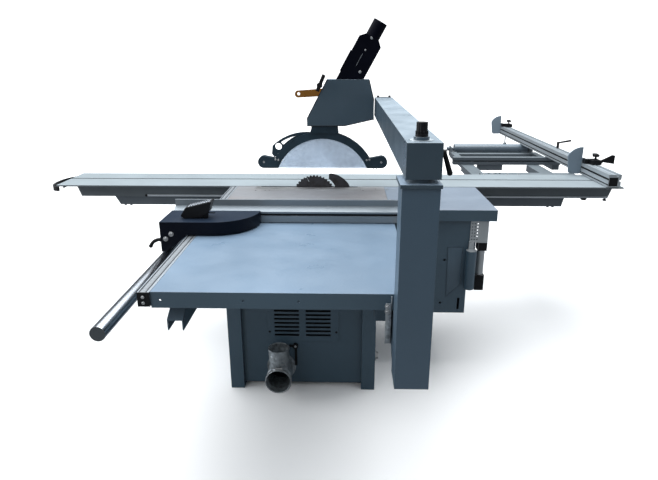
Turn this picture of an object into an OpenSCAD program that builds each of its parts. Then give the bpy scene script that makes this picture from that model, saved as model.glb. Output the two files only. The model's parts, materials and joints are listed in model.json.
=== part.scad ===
// Sliding-table panel saw with an overhead guard, a rip fence on a round bar and a crosscut outrigger.
// X runs along the cut, from the operator's end (-X) to the outfeed end (+X).
// Y runs across the cut, from the rip side (-Y) to the sliding table (+Y). Z is up from the floor.
// The origin is on the floor, at the centre of the four anchor holes.

/* [Base and tables] */
// Height of the table surfaces above the floor
table_z = 870; // [860:1:900]
// Length of the cabinet along the cut
cab_len = 714; // [700:1:720]
// Depth of the cabinet across the cut
cab_dep = 1000; // [1000:1:1010]
// Depth of the folded edge of the sheet-metal tables
fold_h = 55; // [45:1:60]

/* [Saw unit] */
// Blade diameter
blade_d = 250; // [240:1:250]
// Height of the blade above the table at full rise
blade_out = 68; // [55:1:68]
// Distance from the cabinet's centre to the arbor, along the cut
arbor_x = 30; // [25:1:35]
// Distance from the cabinet's centre to the blade, across the cut
blade_y = 200; // [200:1:202]

/* [Sliding table] */
// Length of the sliding table
slide_len = 3250; // [3200:1:3300]
// Width of the sliding table
slide_w = 350; // [340:1:360]
// Length of the crosscut fence
cross_len = 2290; // [2150:1:2400]

/* [Rip fence] */
// Length of the rip fence profile
rip_len = 1128; // [1000:1:1200]
// Diameter of the round guide bar
bar_d = 50; // [46:1:50]

/* [Overhead guard] */
// Height of the top of the guard arm above the floor
arm_top = 1363; // [1360:1:1400]
// Width of the square tube of the guard post
post_w = 102; // [96:1:104]
// Inner radius of the hood's arch
hood_r = 270; // [260:1:272]

/* [Hidden] */
$fn = 48;
eps = 0.01;
run_gap = 0.05;

// Cabinet
leg_w = 66;
leg_d = 60;
cab_x = cab_len / 2;
cab_y = cab_dep / 2;
cab_top = table_z - 55;
bed_seat_z = table_z - 170;
bed_seat_y = blade_y + 70;
cab_gap = 20;
sheet = 4;
anchor_x = cab_x - leg_w / 2;
anchor_y = cab_y - leg_d - 30;
anchor_r = 7;
panel_y = -cab_y + 25;

// Dust port at the foot of the cabinet
port_x = -105;
port_z = 114;
port_r = 60;
port_y = -620;
stub_y = -556;
stub_r = 48;
stub_top = 262;

// Tables
main_x0 = -410;
main_x1 = 425;
main_y0 = -480;
main_y1 = blade_y + 8;
rear_x1 = 942;
rear_y0 = -290;
ext_y0 = -1285;
slot_x0 = arbor_x - 305;
slot_x1 = arbor_x + 246;
slot_half = 7;
insert_t = 8;
insert_x = 300;
insert_y0 = blade_y - 65;

// Guide rail and bar
rail_x0 = -450;
rail_x1 = main_x0 - 1;
rail_h = 48;
bar_x = -545;
bar_z = table_z - 95;
bar_r = bar_d / 2;
bar_y0 = -1390;
bar_y1 = 150;

// Rip fence
head_x0 = -560;
head_x1 = -166;
head_y0 = -720;
head_y1 = -536;
head_top = table_z + 60;
head_bot = table_z + 6;
prof_y0 = -522;
prof_y1 = prof_y0 + 50;
prof_z0 = table_z + 3;
prof_top = table_z + 96;

// Overhead guard
post_x = 406;
post_y = -1392;
post_z0 = 632;
plate_z = arm_top - 118;
plate_t = 10;
arm_w = 94;
arm_z0 = arm_top - 96;
arm_y1 = blade_y + 40;
pivot_r = 15;
hood_x = arbor_x + 47;
hood_z = table_z + 6;
hood_rest = 105;
hood_band = 40;
hood_w = 40;
hood_c = [hood_x, hood_z + 269 - hood_r];
roller_dx = 328;
roller_z = hood_z + hood_rest + 34;

// Saw unit
blade_r = blade_d / 2;
arbor_z = table_z - blade_r + blade_out;
blade_t = 3.2;
tilt_r0 = 150;
tilt_r1 = 190;
rod_dx = 90;
rod_y = blade_y - 90;
rod_r = 12.5;
motor_z = arbor_z - 333;
belt_y0 = blade_y - 168;
belt_y1 = blade_y - 142;
arbor_pulley_r = 35;
motor_pulley_r = 50;
score_x = arbor_x - 190;
score_z = table_z - 65;
score_r = 60;
score_pins = [score_x - 45, score_x + 35];
score_pin_y = 107;
score_pin_r = 6;

// Sliding table
slide_x0 = -1473;
slide_y0 = blade_y + 14;
slide_y1 = slide_y0 + slide_w;
web_y0 = blade_y + 128;
web_y1 = slide_y1 - 18;
bed_x0 = -1203;
bed_x1 = 1512;
bed_y0 = blade_y + 156;
bed_y1 = bed_y0 + 170;
bed_z0 = table_z - 150;
bed_z1 = table_z - 86;
track_z = bed_z1 + 16;
cage_r = 6;
ride_z = track_z + 2 * cage_r;

// Outrigger and crosscut fence
cross_x0 = 1680;
cross_w = 71;
cross_h = 72;
cross_z0 = table_z + 3;
cross_top = cross_z0 + cross_h;
cross_y0 = blade_y + 5;
pin_x = cross_x0 + 30;
pin_y = cross_y0 + 57;
out_x0 = 1066;
out_x1 = 1635;
beam_y = 1200;
roll_y = 1840;
roll_r = 40;
roll_z = table_z - roll_r - 0.5;
near_stop_y = 585;
far_stop_y = cross_y0 + cross_len - 20;
hub_x = cross_x0 + 10;
hub_z = cross_top + 17;
hub_r = 12;

// ---------- shared shapes ----------

// Box from its lowest to its highest corner
module box(lo, hi) {
    translate(lo) cube(hi - lo);
}

// Round bar along X, Y or Z, from a point
module rod_x(p, len, r) {
    translate(p) rotate([0, 90, 0]) cylinder(h = len, r = r);
}
module rod_y(p, len, r) {
    translate(p) rotate([-90, 0, 0]) cylinder(h = len, r = r);
}
module rod_z(p, len, r) {
    translate(p) cylinder(h = len, r = r);
}

// Profile drawn in (x, z), swept along Y from y0
module sweep_y(y0, len) {
    translate([0, y0 + len, 0]) rotate([90, 0, 0]) linear_extrude(len) children();
}

// Profile drawn in (y, z), swept along X from x0
module sweep_x(x0, len) {
    translate([x0, 0, 0]) rotate([90, 0, 90]) linear_extrude(len) children();
}

// Rectangle with round corners, from its centre
module round_rect(w, h, r) {
    square([w - 2 * r, h], center = true);
    square([w, h - 2 * r], center = true);
    for (sx = [-1, 1], sy = [-1, 1])
        translate([sx * (w / 2 - r), sy * (h / 2 - r)]) circle(r);
}

// Points along an arc in degrees, around a centre
function arc(c, r, a0, a1, n = 16) =
    [for (i = [0:n]) let (a = a0 + (a1 - a0) * i / n) [c[0] + r * cos(a), c[1] + r * sin(a)]];

// Sector of a ring
module ring_sector(c, r0, r1, a0, a1) {
    reach = 3 * r1;
    translate(c) intersection() {
        difference() {
            circle(r1);
            circle(r0);
        }
        polygon([[0, 0], for (a = [a0, (a0 + a1) / 2, a1]) [reach * cos(a), reach * sin(a)]]);
    }
}

// Shallow folded tray, open below
module tray(x0, x1, y0, y1) {
    difference() {
        box([x0, y0, table_z - fold_h], [x1, y1, table_z]);
        box([x0 + sheet, y0 + sheet, table_z - fold_h - 1], [x1 - sheet, y1 - sheet, table_z - sheet]);
        children();
    }
}

// ---------- base ----------

module leg(x, y, top) {
    wall = 4;
    difference() {
        translate([x - leg_w / 2, y - leg_d / 2, 0]) cube([leg_w, leg_d, top]);
        translate([x - leg_w / 2 + wall, y - leg_d / 2 + wall, wall])
            cube([leg_w - 2 * wall, leg_d - 2 * wall, top - 2 * wall]);
    }
}

module base_cabinet() {
    foot_t = 10;
    foot_w = 70;
    rail = 40;
    leg_x = cab_x - leg_w / 2;
    leg_y = cab_y - leg_d / 2;
    color("#33444f") {
        for (sx = [-1, 1]) {
            leg(sx * leg_x, -leg_y, cab_top);
            leg(sx * leg_x, leg_y, bed_seat_z);
            sweep_x(sx < 0 ? -cab_x + 3 : cab_x - 3 - sheet, sheet)
                polygon([[-leg_y, cab_gap], [leg_y, cab_gap], [leg_y, bed_seat_z],
                    [bed_seat_y, bed_seat_z], [bed_seat_y, cab_top], [-leg_y, cab_top]]);
            // Stiff top edges that carry the table and the slide bed
            box([sx < 0 ? -cab_x + 3 : cab_x - rail, -leg_y, cab_top - rail],
                [sx < 0 ? -cab_x + rail : cab_x - 3, bed_seat_y, cab_top]);
            box([sx < 0 ? -cab_x + 3 : cab_x - rail, bed_seat_y - rail, bed_seat_z - rail],
                [sx < 0 ? -cab_x + rail : cab_x - 3, leg_y, bed_seat_z]);
            for (sy = [-1, 1])
                difference() {
                    translate([sx * anchor_x - leg_w / 2, sy * anchor_y - foot_w / 2, 0])
                        cube([leg_w, foot_w, foot_t]);
                    translate([sx * anchor_x, sy * anchor_y, -1]) cylinder(h = foot_t + 2, r = anchor_r);
                }
        }
        box([-leg_x, cab_y - 3 - sheet, cab_gap], [leg_x, cab_y - 3, bed_seat_z]);
        box([-leg_x, cab_y - rail, bed_seat_z - rail], [leg_x, cab_y - 3, bed_seat_z]);
        box([-leg_x, -cab_y + leg_d - rail, cab_top - rail], [leg_x, -cab_y + leg_d, cab_top]);
        box([-cab_x + 3, -leg_y, cab_gap], [cab_x - 3, cab_y - 3, cab_gap + sheet]);
    }
}

module side_panel() {
    panel_x = cab_x - leg_w - 0.5;
    vent_w = 290;
    vent_h = 214;
    vent_z = 388;
    color("#35474f") difference() {
        box([-panel_x, panel_y, cab_gap + sheet + 1], [panel_x, panel_y + 3, cab_top - 41]);
        translate([5, panel_y - 1, vent_z]) rotate([-90, 0, 0]) linear_extrude(5)
            round_rect(vent_w, vent_h, 10);
        rod_y([port_x, panel_y - 1, port_z], 5, port_r - 2);
    }
}

module louvre_cover() {
    cover_w = 346;
    cover_z0 = 255;
    cover_h = 270;
    slot_w = 121;
    slot_h = 11;
    row_z = 288;
    pitch = 21.5;
    color("#36484f") difference() {
        translate([5, panel_y - 3.2, cover_z0 + cover_h / 2]) rotate([-90, 0, 0]) linear_extrude(3)
            round_rect(cover_w, cover_h, 14);
        for (row = [0:9], cx = [-72.5, 79.5])
            translate([cx, panel_y - 4, row_z + row * pitch]) rotate([-90, 0, 0]) linear_extrude(5)
                round_rect(slot_w, slot_h, 3);
    }
}

module panel_latch() {
    latch_x = -33;
    latch_z = 231;
    color("#14181c") {
        rod_y([latch_x, panel_y - 16, latch_z], 15.8, 13);
        box([latch_x - 4, panel_y - 12, latch_z - 106], [latch_x + 8, panel_y - 8, latch_z]);
        box([latch_x - 30, panel_y - 12, latch_z - 5], [latch_x, panel_y - 8, latch_z + 7]);
    }
}

module dust_manifold() {
    wall = 2;
    color("#47535a") difference() {
        union() {
            rod_y([port_x, port_y, port_z], panel_y - 0.2 - port_y, port_r);
            rod_y([port_x, panel_y - 4.2, port_z], 4, port_r + 12);
            rod_z([port_x, stub_y, port_z], stub_top - port_z, stub_r);
            rod_z([port_x, stub_y, stub_top - 6], 6, stub_r + 3);
        }
        rod_y([port_x, port_y - 1, port_z], panel_y - port_y + 2, port_r - wall);
        rod_z([port_x, stub_y, port_z], stub_top - port_z + 1, stub_r - wall);
    }
}

module hose_clamp() {
    band = 12;
    color("silver") {
        difference() {
            rod_y([port_x, port_y + 2, port_z], band, port_r + 3);
            rod_y([port_x, port_y + 1, port_z], band + 2, port_r + run_gap);
        }
        rod_x([port_x - 14, port_y + 8, port_z + port_r + 7], 28, 5);
    }
}

// ---------- tables ----------

module main_table() {
    skin = 14;
    rim = 45;
    rib = 10;
    seat = 13;
    color("#8b8884") difference() {
        union() {
            box([main_x0, main_y0, table_z - skin], [main_x1, main_y1, table_z]);
            // Rim and ribs below the ground surface
            for (x = [main_x0, -310, 320, main_x1 - rib])
                box([x, main_y0, table_z - rim], [x + rib, main_y1, table_z - skin + eps]);
            for (y = [main_y0, -300, -130])
                box([main_x0, y, table_z - rim], [main_x1, y + rib, table_z - skin + eps]);
            // Pads that stand on the cabinet
            for (x = [-cab_x + 4, cab_x - 34], y = [-460, bed_seat_y - 160])
                box([x, y, cab_top], [x + 30, y + 60, table_z - skin + eps]);
        }
        // Seat for the blade insert
        box([-insert_x - 0.5, insert_y0 - 0.5, table_z - insert_t - 0.2],
            [insert_x + 0.5, main_y1 + 1, table_z + 1]);
        box([-insert_x + seat, insert_y0 + seat, table_z - rim - 1],
            [insert_x - seat, main_y1 + 1, table_z]);
    }
}

module table_insert() {
    screw_r = 4;
    color("#9a9896") difference() {
        box([-insert_x, insert_y0, table_z - insert_t], [insert_x, main_y1, table_z]);
        box([slot_x0, blade_y - slot_half, table_z - insert_t - 1],
            [slot_x1, main_y1 + 1, table_z + 1]);
        for (x = [-insert_x + 9, -180, 60, insert_x - 9])
            rod_z([x, insert_y0 + 10, table_z - insert_t - 1], insert_t + 2, screw_r);
    }
}

module rear_table() {
    color("#9fb4cc") tray(main_x1 + 1, rear_x1, rear_y0, main_y1 - 3);
}

module extension_table() {
    screw_r = 4;
    color("#a3b9d2") tray(main_x0, main_x1, ext_y0, main_y0 - 1) {
        for (p = [[-380, 28], [-115, 28], [61, 28], [342, 43]])
            rod_y([p[0], ext_y0 - 1, table_z - p[1]], sheet + 2, screw_r);
    }
}

// Folded channel that carries the extension table, open below, with a sloping nose
module table_arm(x0, w, z0) {
    z1 = table_z - fold_h - 0.5;
    y0 = ext_y0 + 50;
    nose_h = 39;
    nose_l = 110;
    hole_r = 5.5;
    difference() {
        sweep_x(x0, w)
            polygon([[y0, z0], [-cab_y - 0.5, z0], [-cab_y - 0.5, z1], [y0 + nose_l, z1], [y0, z0 + nose_h]]);
        box([x0 + sheet, y0 - 1, z0 - 1], [x0 + w - sheet, -cab_y - 5, z0 + nose_h - sheet]);
        box([x0 + sheet, y0 + nose_l, z0 - 1], [x0 + w - sheet, -cab_y - 5, z1 - sheet]);
        rod_x([x0 - 1, y0 + 14, z0 + 30], w + 2, hole_r);
    }
}

module left_table_arm() {
    color("#2e3d47") table_arm(-383, 54, cab_top - 106);
}

module right_table_arm() {
    color("#2e3d47") table_arm(303, 52, cab_top - 58);
}

module guide_rail() {
    groove = 12;
    depth = 10;
    color("#b9c0c4") difference() {
        box([rail_x0, ext_y0 - 3, table_z - rail_h], [rail_x1, main_y1, table_z]);
        // Front groove, top scale recess and hollow core
        box([rail_x0 - 1, ext_y0 - 4, table_z - 32], [rail_x0 + depth, main_y1 + 1, table_z - 32 + groove]);
        box([rail_x0 + 8, ext_y0 - 4, table_z - 1.5], [rail_x1 - 12, main_y1 + 1, table_z + 1]);
        box([rail_x0 + 14, ext_y0 - 4, table_z - rail_h + 5], [rail_x1 - 4, main_y1 + 1, table_z - 6]);
    }
}

module rail_end_cap() {
    color("#1b1e21") {
        box([rail_x0, ext_y0 - 8, table_z - rail_h], [rail_x1, ext_y0 - 3.1, table_z]);
        for (z = [14, 34]) rod_y([(rail_x0 + rail_x1) / 2, ext_y0 - 11, table_z - z], 3.5, 4);
    }
}

module fence_bar() {
    color("#c9d2d8") {
        rod_y([bar_x, bar_y0, bar_z], bar_y1 - bar_y0, bar_r);
    }
}

module bar_standoffs() {
    color("#30363b") for (y = [-960, -480, 60]) {
        rod_x([bar_x + bar_r + 0.1, y, bar_z], rail_x0 - bar_x - bar_r - 12, 9);
        box([rail_x0 - 12, y - 20, bar_z - 16], [rail_x0, y + 20, table_z - rail_h + 8]);
        box([rail_x0 - 12, y - 20, bar_z + 32], [rail_x0 - 0.1, y + 20, bar_z + 58]);
    }
}

// ---------- rip fence ----------

module fence_head() {
    block_x1 = rail_x0 - 5;
    nose_x = head_x1 - 104;
    nose_r = 184;
    rim = 5;
    color("#0f1930") {
        // Half-round table plate, hollow below
        difference() {
            translate([0, 0, head_bot]) linear_extrude(head_top - head_bot) intersection() {
                translate([head_x0, head_y0]) square([head_x1 - head_x0, head_y1 - head_y0]);
                union() {
                    translate([nose_x - nose_r * 0.44, head_y1]) circle(nose_r, $fn = 96);
                    translate([head_x0, head_y0]) square([nose_x - head_x0 - 80, head_y1 - head_y0]);
                }
            }
            box([block_x1 + 8, head_y0 + rim, head_bot - 1], [nose_x - 40, head_y1 - rim, head_top - rim]);
        }
        // Block that runs over the bar, with its lower inner corner cut away
        sweep_y(head_y0, head_y1 - head_y0)
            polygon([[head_x0, bar_z + bar_r + 3], [head_x0 + 24, bar_z + bar_r + 3],
                [block_x1, head_bot - 8], [block_x1, head_top - eps], [head_x0, head_top - eps]]);
        // Boss that holds the profile
        box([-480, head_y1 - eps, head_bot + 8], [-300, prof_y0 - 0.4, head_bot + 44]);
    }
}

module bar_saddle() {
    saddle_l = 60;
    wall = 9;
    y0 = head_y0 + 60;
    y1 = y0 + saddle_l;
    color("#3a4046") difference() {
        union() {
            rod_y([bar_x, y0, bar_z], saddle_l, bar_r + wall);
            box([head_x0 + 1, y0, bar_z + 10], [head_x0 + 22, y1, bar_z + bar_r + 2.9]);
        }
        rod_y([bar_x, y0 - 1, bar_z], saddle_l + 2, bar_r + run_gap);
        box([bar_x + 12, y0 - 1, bar_z - 60], [bar_x + 60, y1 + 1, bar_z + 30]);
        box([bar_x - 60, y0 - 1, bar_z + bar_r + 2.9], [bar_x + 60, y1 + 1, bar_z + 60]);
    }
}

module fence_profile() {
    slot_z = prof_z0 + 30;
    color("#aab0b5") difference() {
        sweep_x(head_x0, rip_len)
            polygon([[prof_y0, prof_z0], [prof_y1, prof_z0], [prof_y1, prof_top],
                [prof_y1 - 8, prof_top], [prof_y1 - 8, prof_top - 28], [prof_y0, prof_top - 44]]);
        // T-slot on the near face and two hollow chambers
        box([head_x0 - 1, prof_y0 - 1, slot_z], [head_x0 + rip_len + 1, prof_y0 + 9, slot_z + 11]);
        box([head_x0 - 1, prof_y0 + 4, slot_z - 4], [head_x0 + rip_len + 1, prof_y0 + 9, slot_z + 15]);
        box([head_x0 - 1, prof_y0 + 4, prof_z0 + 4], [head_x0 + rip_len + 1, prof_y1 - 4, slot_z - 8]);
        box([head_x0 - 1, prof_y0 + 14, slot_z - 4], [head_x0 + rip_len + 1, prof_y1 - 4, slot_z + 15]);
    }
}

module fence_clamp_lever() {
    lever_y = head_y0 + 30;
    lever_z = table_z - 25;
    bend_r = 46;
    end_a = 158;
    color("#101214") {
        rod_x([head_x0 - 14.2, lever_y, lever_z], 14, 9);
        translate([head_x0 - 12, lever_y, lever_z - bend_r]) rotate([90, 0, 0])
            rotate_extrude(angle = end_a - 92, start = 92) translate([bend_r, 0]) circle(7.5);
        translate([head_x0 - 12 + bend_r * cos(end_a), lever_y, lever_z - bend_r + bend_r * sin(end_a)])
            sphere(8.5);
    }
}

module scale_viewer() {
    view_y0 = -668;
    view_w = 62;
    color("#101418") {
        // Wedge-shaped body with a sloping top
        sweep_y(view_y0, view_w)
            polygon([[-468, head_top + 0.2], [-400, head_top + 8], [-366, head_top + 26],
                [-350, head_top + 74], [-462, head_top + 46], [-484, head_top + 12]]);
        box([-456, view_y0 + 6, head_top + 0.2], [-400, view_y0 + view_w - 6, head_top + 20]);
    }
}

// ---------- overhead guard ----------

module guard_post() {
    wall = 5;
    gusset_t = 8;
    reach_y = -1062;
    root_y = post_y + 50 - eps;
    color("#3e4f60") {
        difference() {
            translate([post_x - post_w / 2, post_y - 50, post_z0]) cube([post_w, 100, plate_z - post_z0]);
            translate([post_x - post_w / 2 + wall, post_y - 50 + wall, post_z0 + wall])
                cube([post_w - 2 * wall, 100 - 2 * wall, plate_z - post_z0]);
        }
        // Gussets and the flange that is bolted under the extension table
        for (x = [post_x - post_w / 2 + 4, main_x1 + 8])
            sweep_x(x, gusset_t)
                polygon([[root_y, post_z0 + 8], [post_y + 70, post_z0 + 4], [reach_y, cab_top - 62],
                    [reach_y, cab_top - 1], [root_y, cab_top - 1]]);
        box([post_x - post_w / 2 + 4, root_y, cab_top - 9], [main_x1 + 16, reach_y, cab_top - 1]);
    }
}

module post_plate() {
    over = 6;
    color("#46586a") {
        box([post_x - post_w / 2 - over, post_y - 60, plate_z],
            [post_x + post_w / 2 + 3, post_y + 64, plate_z + plate_t]);
        rod_z([post_x, post_y, plate_z + plate_t - eps], arm_z0 - plate_z - plate_t - 0.3, 40);
        rod_z([post_x, post_y, plate_z + plate_t], arm_top - plate_z - plate_t + 14, pivot_r);
    }
}

module guard_arm() {
    wall = 5;
    x0 = post_x - 43;
    color("#b4c4d2") difference() {
        union() {
            box([x0, post_y - 50, arm_z0], [x0 + arm_w, arm_y1, arm_top]);
            rod_z([post_x, post_y, arm_top - 1], 11, 21);
        }
        box([x0 + wall, post_y - 50 + wall, arm_z0 + wall],
            [x0 + arm_w - wall, arm_y1 - wall, arm_top - wall]);
        rod_z([post_x, post_y, arm_z0 - 1], arm_top - arm_z0 + 20, pivot_r + run_gap);
    }
}

module arm_knob() {
    knob_z = arm_top + 24.5;
    color("#15171a") difference() {
        union() {
            rod_z([post_x, post_y, knob_z - 14], 14, 17);
            rod_z([post_x, post_y, knob_z - eps], 23, 15);
        }
        for (i = [0:11])
            rotate_about(i * 30) rod_z([post_x + 17.2, post_y, knob_z - 8], 40, 3);
        rod_z([post_x, post_y, knob_z - 15], 5, pivot_r + run_gap);
    }
}

// Turns a shape about the guard arm's pivot
module rotate_about(a) {
    translate([post_x, post_y, 0]) rotate([0, 0, a]) translate([-post_x, -post_y, 0]) children();
}

module arm_clamp_lever() {
    side_x = post_x - 43 + arm_w;
    color("#15171a") {
        rod_x([side_x + 0.2, post_y, arm_top - 34], 16, 10);
        translate([side_x + 12, post_y, arm_top - 34]) rotate([0, 162, 0]) cylinder(h = 56, r1 = 6, r2 = 7.5);
        translate([side_x + 12 + 56 * sin(162), post_y, arm_top - 34 + 56 * cos(162)]) sphere(8);
    }
}

housing_pts = [[106, 1460], [328, 1459], [354, 1358], [356, 1253], [199, 1218], [-4, 1218], [-3, 1258]];

module guard_housing() {
    half = 45;
    wall = 4;
    inner = [[112, 1455], [324, 1454], [349, 1358], [351, 1257], [199, 1222], [2, 1222], [2, 1257]];
    color("#2f3f4d") difference() {
        sweep_y(blade_y - half, 2 * half) polygon(housing_pts);
        sweep_y(blade_y - half + wall, 2 * (half - wall)) polygon(inner);
        // Opening for the hood's neck, and slot for the release lever
        box([8, blade_y - 32, 1200], [169, blade_y + 32, 1230]);
        box([-20, blade_y - 6, 1340], [95, blade_y + 6, 1432]);
        // Throat into the duct
        box([150, blade_y - 26, 1440], [250, blade_y + 26, 1470]);
    }
}

module dust_duct() {
    lean = 29;
    width = 128;
    depth = 70;
    length = 239;
    wall = 3;
    clip = 26;
    spigot_r = 37.5;
    base_z = 1461;
    color("#0c0f1a") difference() {
        translate([226, blade_y, base_z]) rotate([0, lean, 0]) {
            difference() {
                union() {
                    translate([0, depth / 2, 0]) rotate([90, 0, 0]) linear_extrude(depth)
                        polygon([[-width / 2, -80], [width / 2, -80], [width / 2, length - clip],
                            [width / 2 - clip, length], [-width / 2 + clip, length],
                            [-width / 2, length - clip]]);
                    translate([0, 0, length - wall]) cylinder(h = wall + 85, r = spigot_r);
                }
                translate([0, depth / 2 - wall, 0]) rotate([90, 0, 0]) linear_extrude(depth - 2 * wall)
                    polygon([[-width / 2 + wall, -90], [width / 2 - wall, -90],
                        [width / 2 - wall, length - clip], [width / 2 - clip, length - wall],
                        [-width / 2 + clip, length - wall], [-width / 2 + wall, length - clip]]);
                translate([0, 0, length - wall - 1]) cylinder(h = length, r = spigot_r - wall);
            }
        }
        box([0, blade_y - 60, base_z - 150], [500, blade_y + 60, base_z]);
    }
}

module release_lever() {
    lever_t = 6;
    color("#b5651d") difference() {
        sweep_y(blade_y - lever_t / 2, lever_t) difference() {
            union() {
                translate([-52, 1383]) circle(19);
                polygon([[-54, 1364], [92, 1372], [92, 1412], [-50, 1402]]);
                translate([92, 1392]) circle(20);
            }
            translate([-50, 1384]) circle(8);
            translate([92, 1392]) circle(8 + run_gap);
        }
    }
}

module toggle_clamp() {
    color("#101214") {
        translate([70, blade_y - 52, 1438]) rotate([0, 24, 0]) translate([-10, 0, -42]) cube([19, 6, 92]);
        rod_y([66, blade_y - 60, 1430], 14.8, 15);
    }
}

// Part of a round shape about the hood's centre that lies above a height
module above(z) {
    intersection() {
        translate(hood_c) children();
        translate([hood_x - 400, z]) square([800, 400]);
    }
}

module hood_frame() {
    half = hood_w / 2;
    cut_z = hood_z + hood_rest;
    cheek = 5;
    color("#1d2c38") difference() {
        union() {
            // Arch that carries both shields
            sweep_y(blade_y - half, hood_w) difference() {
                above(cut_z) circle(hood_r + hood_band);
                translate(hood_c) circle(hood_r);
            }
            // Round ends that hold the rollers
            for (s = [-1, 1])
                sweep_y(blade_y - half, hood_w) {
                    translate([hood_x + s * roller_dx, roller_z]) circle(34);
                    polygon([[hood_x + s * roller_dx, roller_z - 34], [hood_x + s * (hood_r - 22), cut_z],
                        [hood_x + s * (hood_r - 36), cut_z + 50], [hood_x + s * roller_dx, roller_z + 34]]);
                }
            // Neck, and the stem that slides inside the housing
            sweep_y(blade_y - 30, 60)
                polygon([[10, 1176], [167, 1176], [163, 1205], [163, 1216], [18, 1216], [18, 1205]]);
            box([62, blade_y - 18, 1160], [140, blade_y + 18, 1330]);
        }
        // Room for the rollers
        for (s = [-1, 1]) {
            rod_y([hood_x + s * roller_dx, blade_y - half + cheek, roller_z], hood_w - 2 * cheek, 29);
            box([hood_x + s * roller_dx - 22, blade_y - half + cheek, roller_z - 40],
                [hood_x + s * roller_dx + 22, blade_y + half - cheek, roller_z]);
            rod_y([hood_x + s * roller_dx, blade_y - half - 1, roller_z], hood_w + 2, 6 + run_gap);
        }
        // Dust passage up the stem
        box([72, blade_y - 12, 1100], [130, blade_y + 12, 1340]);
    }
}

module hood_handle() {
    half = 9;
    grip_c = [-10, hood_z + 24];
    grip_r = 280;
    color("#1a2833") sweep_y(blade_y - half, 2 * half) difference() {
        polygon(concat(arc(grip_c, grip_r, 86.2, 133, 12),
            [[-206, hood_z + 184], [-194, hood_z + 168]],
            arc(hood_c, hood_r + hood_band + 0.2, 147, 103, 16)));
        translate([-168, hood_z + 224]) circle(19);
        polygon(concat(arc(grip_c, grip_r - 14, 101, 123, 8),
            arc(hood_c, hood_r + hood_band + 10, 133, 120, 8)));
    }
}

module hood_shields() {
    color("#c3d2e3") for (y = [blade_y - 17, blade_y + 14])
        sweep_y(y, 3) above(hood_z + hood_rest) circle(hood_r - 0.6);
}

module hood_roller(side) {
    x = hood_x + side * roller_dx;
    color("#c8ced2") {
        rod_y([x, blade_y - 14, roller_z], 28, 27);
        rod_y([x, blade_y - 20, roller_z], 40, 6);
    }
}

module infeed_roller() hood_roller(-1);
module outfeed_roller() hood_roller(1);

// ---------- saw unit ----------

module trunnion_cradles() {
    cradle_r1 = tilt_r1 + 22;
    t = 20;
    color("#4a4f54") for (s = [-1, 1]) {
        x0 = s < 0 ? -270 : 290;
        sweep_x(x0, t) ring_sector([blade_y, table_z], tilt_r1 + run_gap, cradle_r1, -150, -108);
        box([s < 0 ? -cab_x + 7.1 : x0, 60, 628], [s < 0 ? x0 + t : cab_x - 7.1, 110, 672]);
        sweep_x(x0, t) polygon([[60, 670], [110, 670], [118, 684], [86, 700], [60, 720]]);
    }
}

module tilt_frame() {
    t = 20;
    cheek = 12;
    cheek_x0 = arbor_x - rod_dx - 55;
    cheek_x1 = arbor_x + rod_dx + 55;
    beam_y0 = 84;
    beam_y1 = 130;
    beam_z0 = table_z - 148;
    beam_z1 = table_z - 118;
    low_z = motor_z - 10;
    top_z = arbor_z - 28;
    lug_t = 15;
    color("#56606a") {
        for (x = [-270, 290])
            sweep_x(x, t) ring_sector([blade_y, table_z], tilt_r0, tilt_r1, -160, -98);
        box([-270, beam_y0, beam_z0], [cheek_x0 + cheek, beam_y1, beam_z1]);
        box([cheek_x1 - cheek, beam_y0, beam_z0], [310, beam_y1, beam_z1]);
        for (x = [cheek_x0, cheek_x1 - cheek])
            box([x, 60, low_z], [x + cheek, blade_y - 52, top_z]);
        // Lugs for the two rise rods, and the lower tie
        for (s = [-1, 1], z = [low_z, top_z - lug_t]) {
            x = arbor_x + s * rod_dx;
            box([s < 0 ? cheek_x0 : x - 20, rod_y - 20, z],
                [s < 0 ? x + 20 : cheek_x1, rod_y + 20, z + lug_t]);
        }
        box([cheek_x0, 72, low_z], [cheek_x1, 148, low_z + lug_t]);
        for (s = [-1, 1]) rod_z([arbor_x + s * rod_dx, rod_y, low_z], top_z - low_z, rod_r);
        // Guide pins of the scoring motor
        for (x = score_pins) rod_z([x, score_pin_y, beam_z1 - eps], 24, score_pin_r);
    }
}

module saw_carriage() {
    block_z0 = arbor_z - 173;
    block_z1 = arbor_z - 68;
    color("#5f6972") difference() {
        union() {
            rod_y([arbor_x, blade_y - 128, arbor_z], 114, 35);
            box([arbor_x - 115, rod_y - 25, block_z0], [arbor_x + 115, rod_y + 25, block_z1]);
            box([arbor_x - 30, rod_y - 28, block_z1 - eps], [arbor_x + 30, rod_y + 28, arbor_z - 20]);
            // Arms and plate that carry the motor
            for (x = [arbor_x - 105, arbor_x + 80])
                box([x, 22, block_z0 - 80], [x + 25, 95, block_z0 + 20]);
            box([arbor_x - 105, 22, motor_z - 70], [arbor_x + 105, 30, block_z0 - 40]);
            // Arm out to the riving knife
            box([arbor_x + 26, blade_y - 50, arbor_z - 43], [arbor_x + 160, blade_y - 20, arbor_z - 13]);
            box([arbor_x + 134, blade_y - 50, arbor_z - 43], [arbor_x + 160, blade_y - 1.3, arbor_z - 13]);
        }
        for (s = [-1, 1])
            rod_z([arbor_x + s * rod_dx, rod_y, block_z0 - 1], block_z1 - block_z0 + 2, rod_r + run_gap);
        rod_y([arbor_x, blade_y - 130, arbor_z], 130, 15 + run_gap);
        rod_y([arbor_x, 20, motor_z], 12, 25);
    }
}

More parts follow.
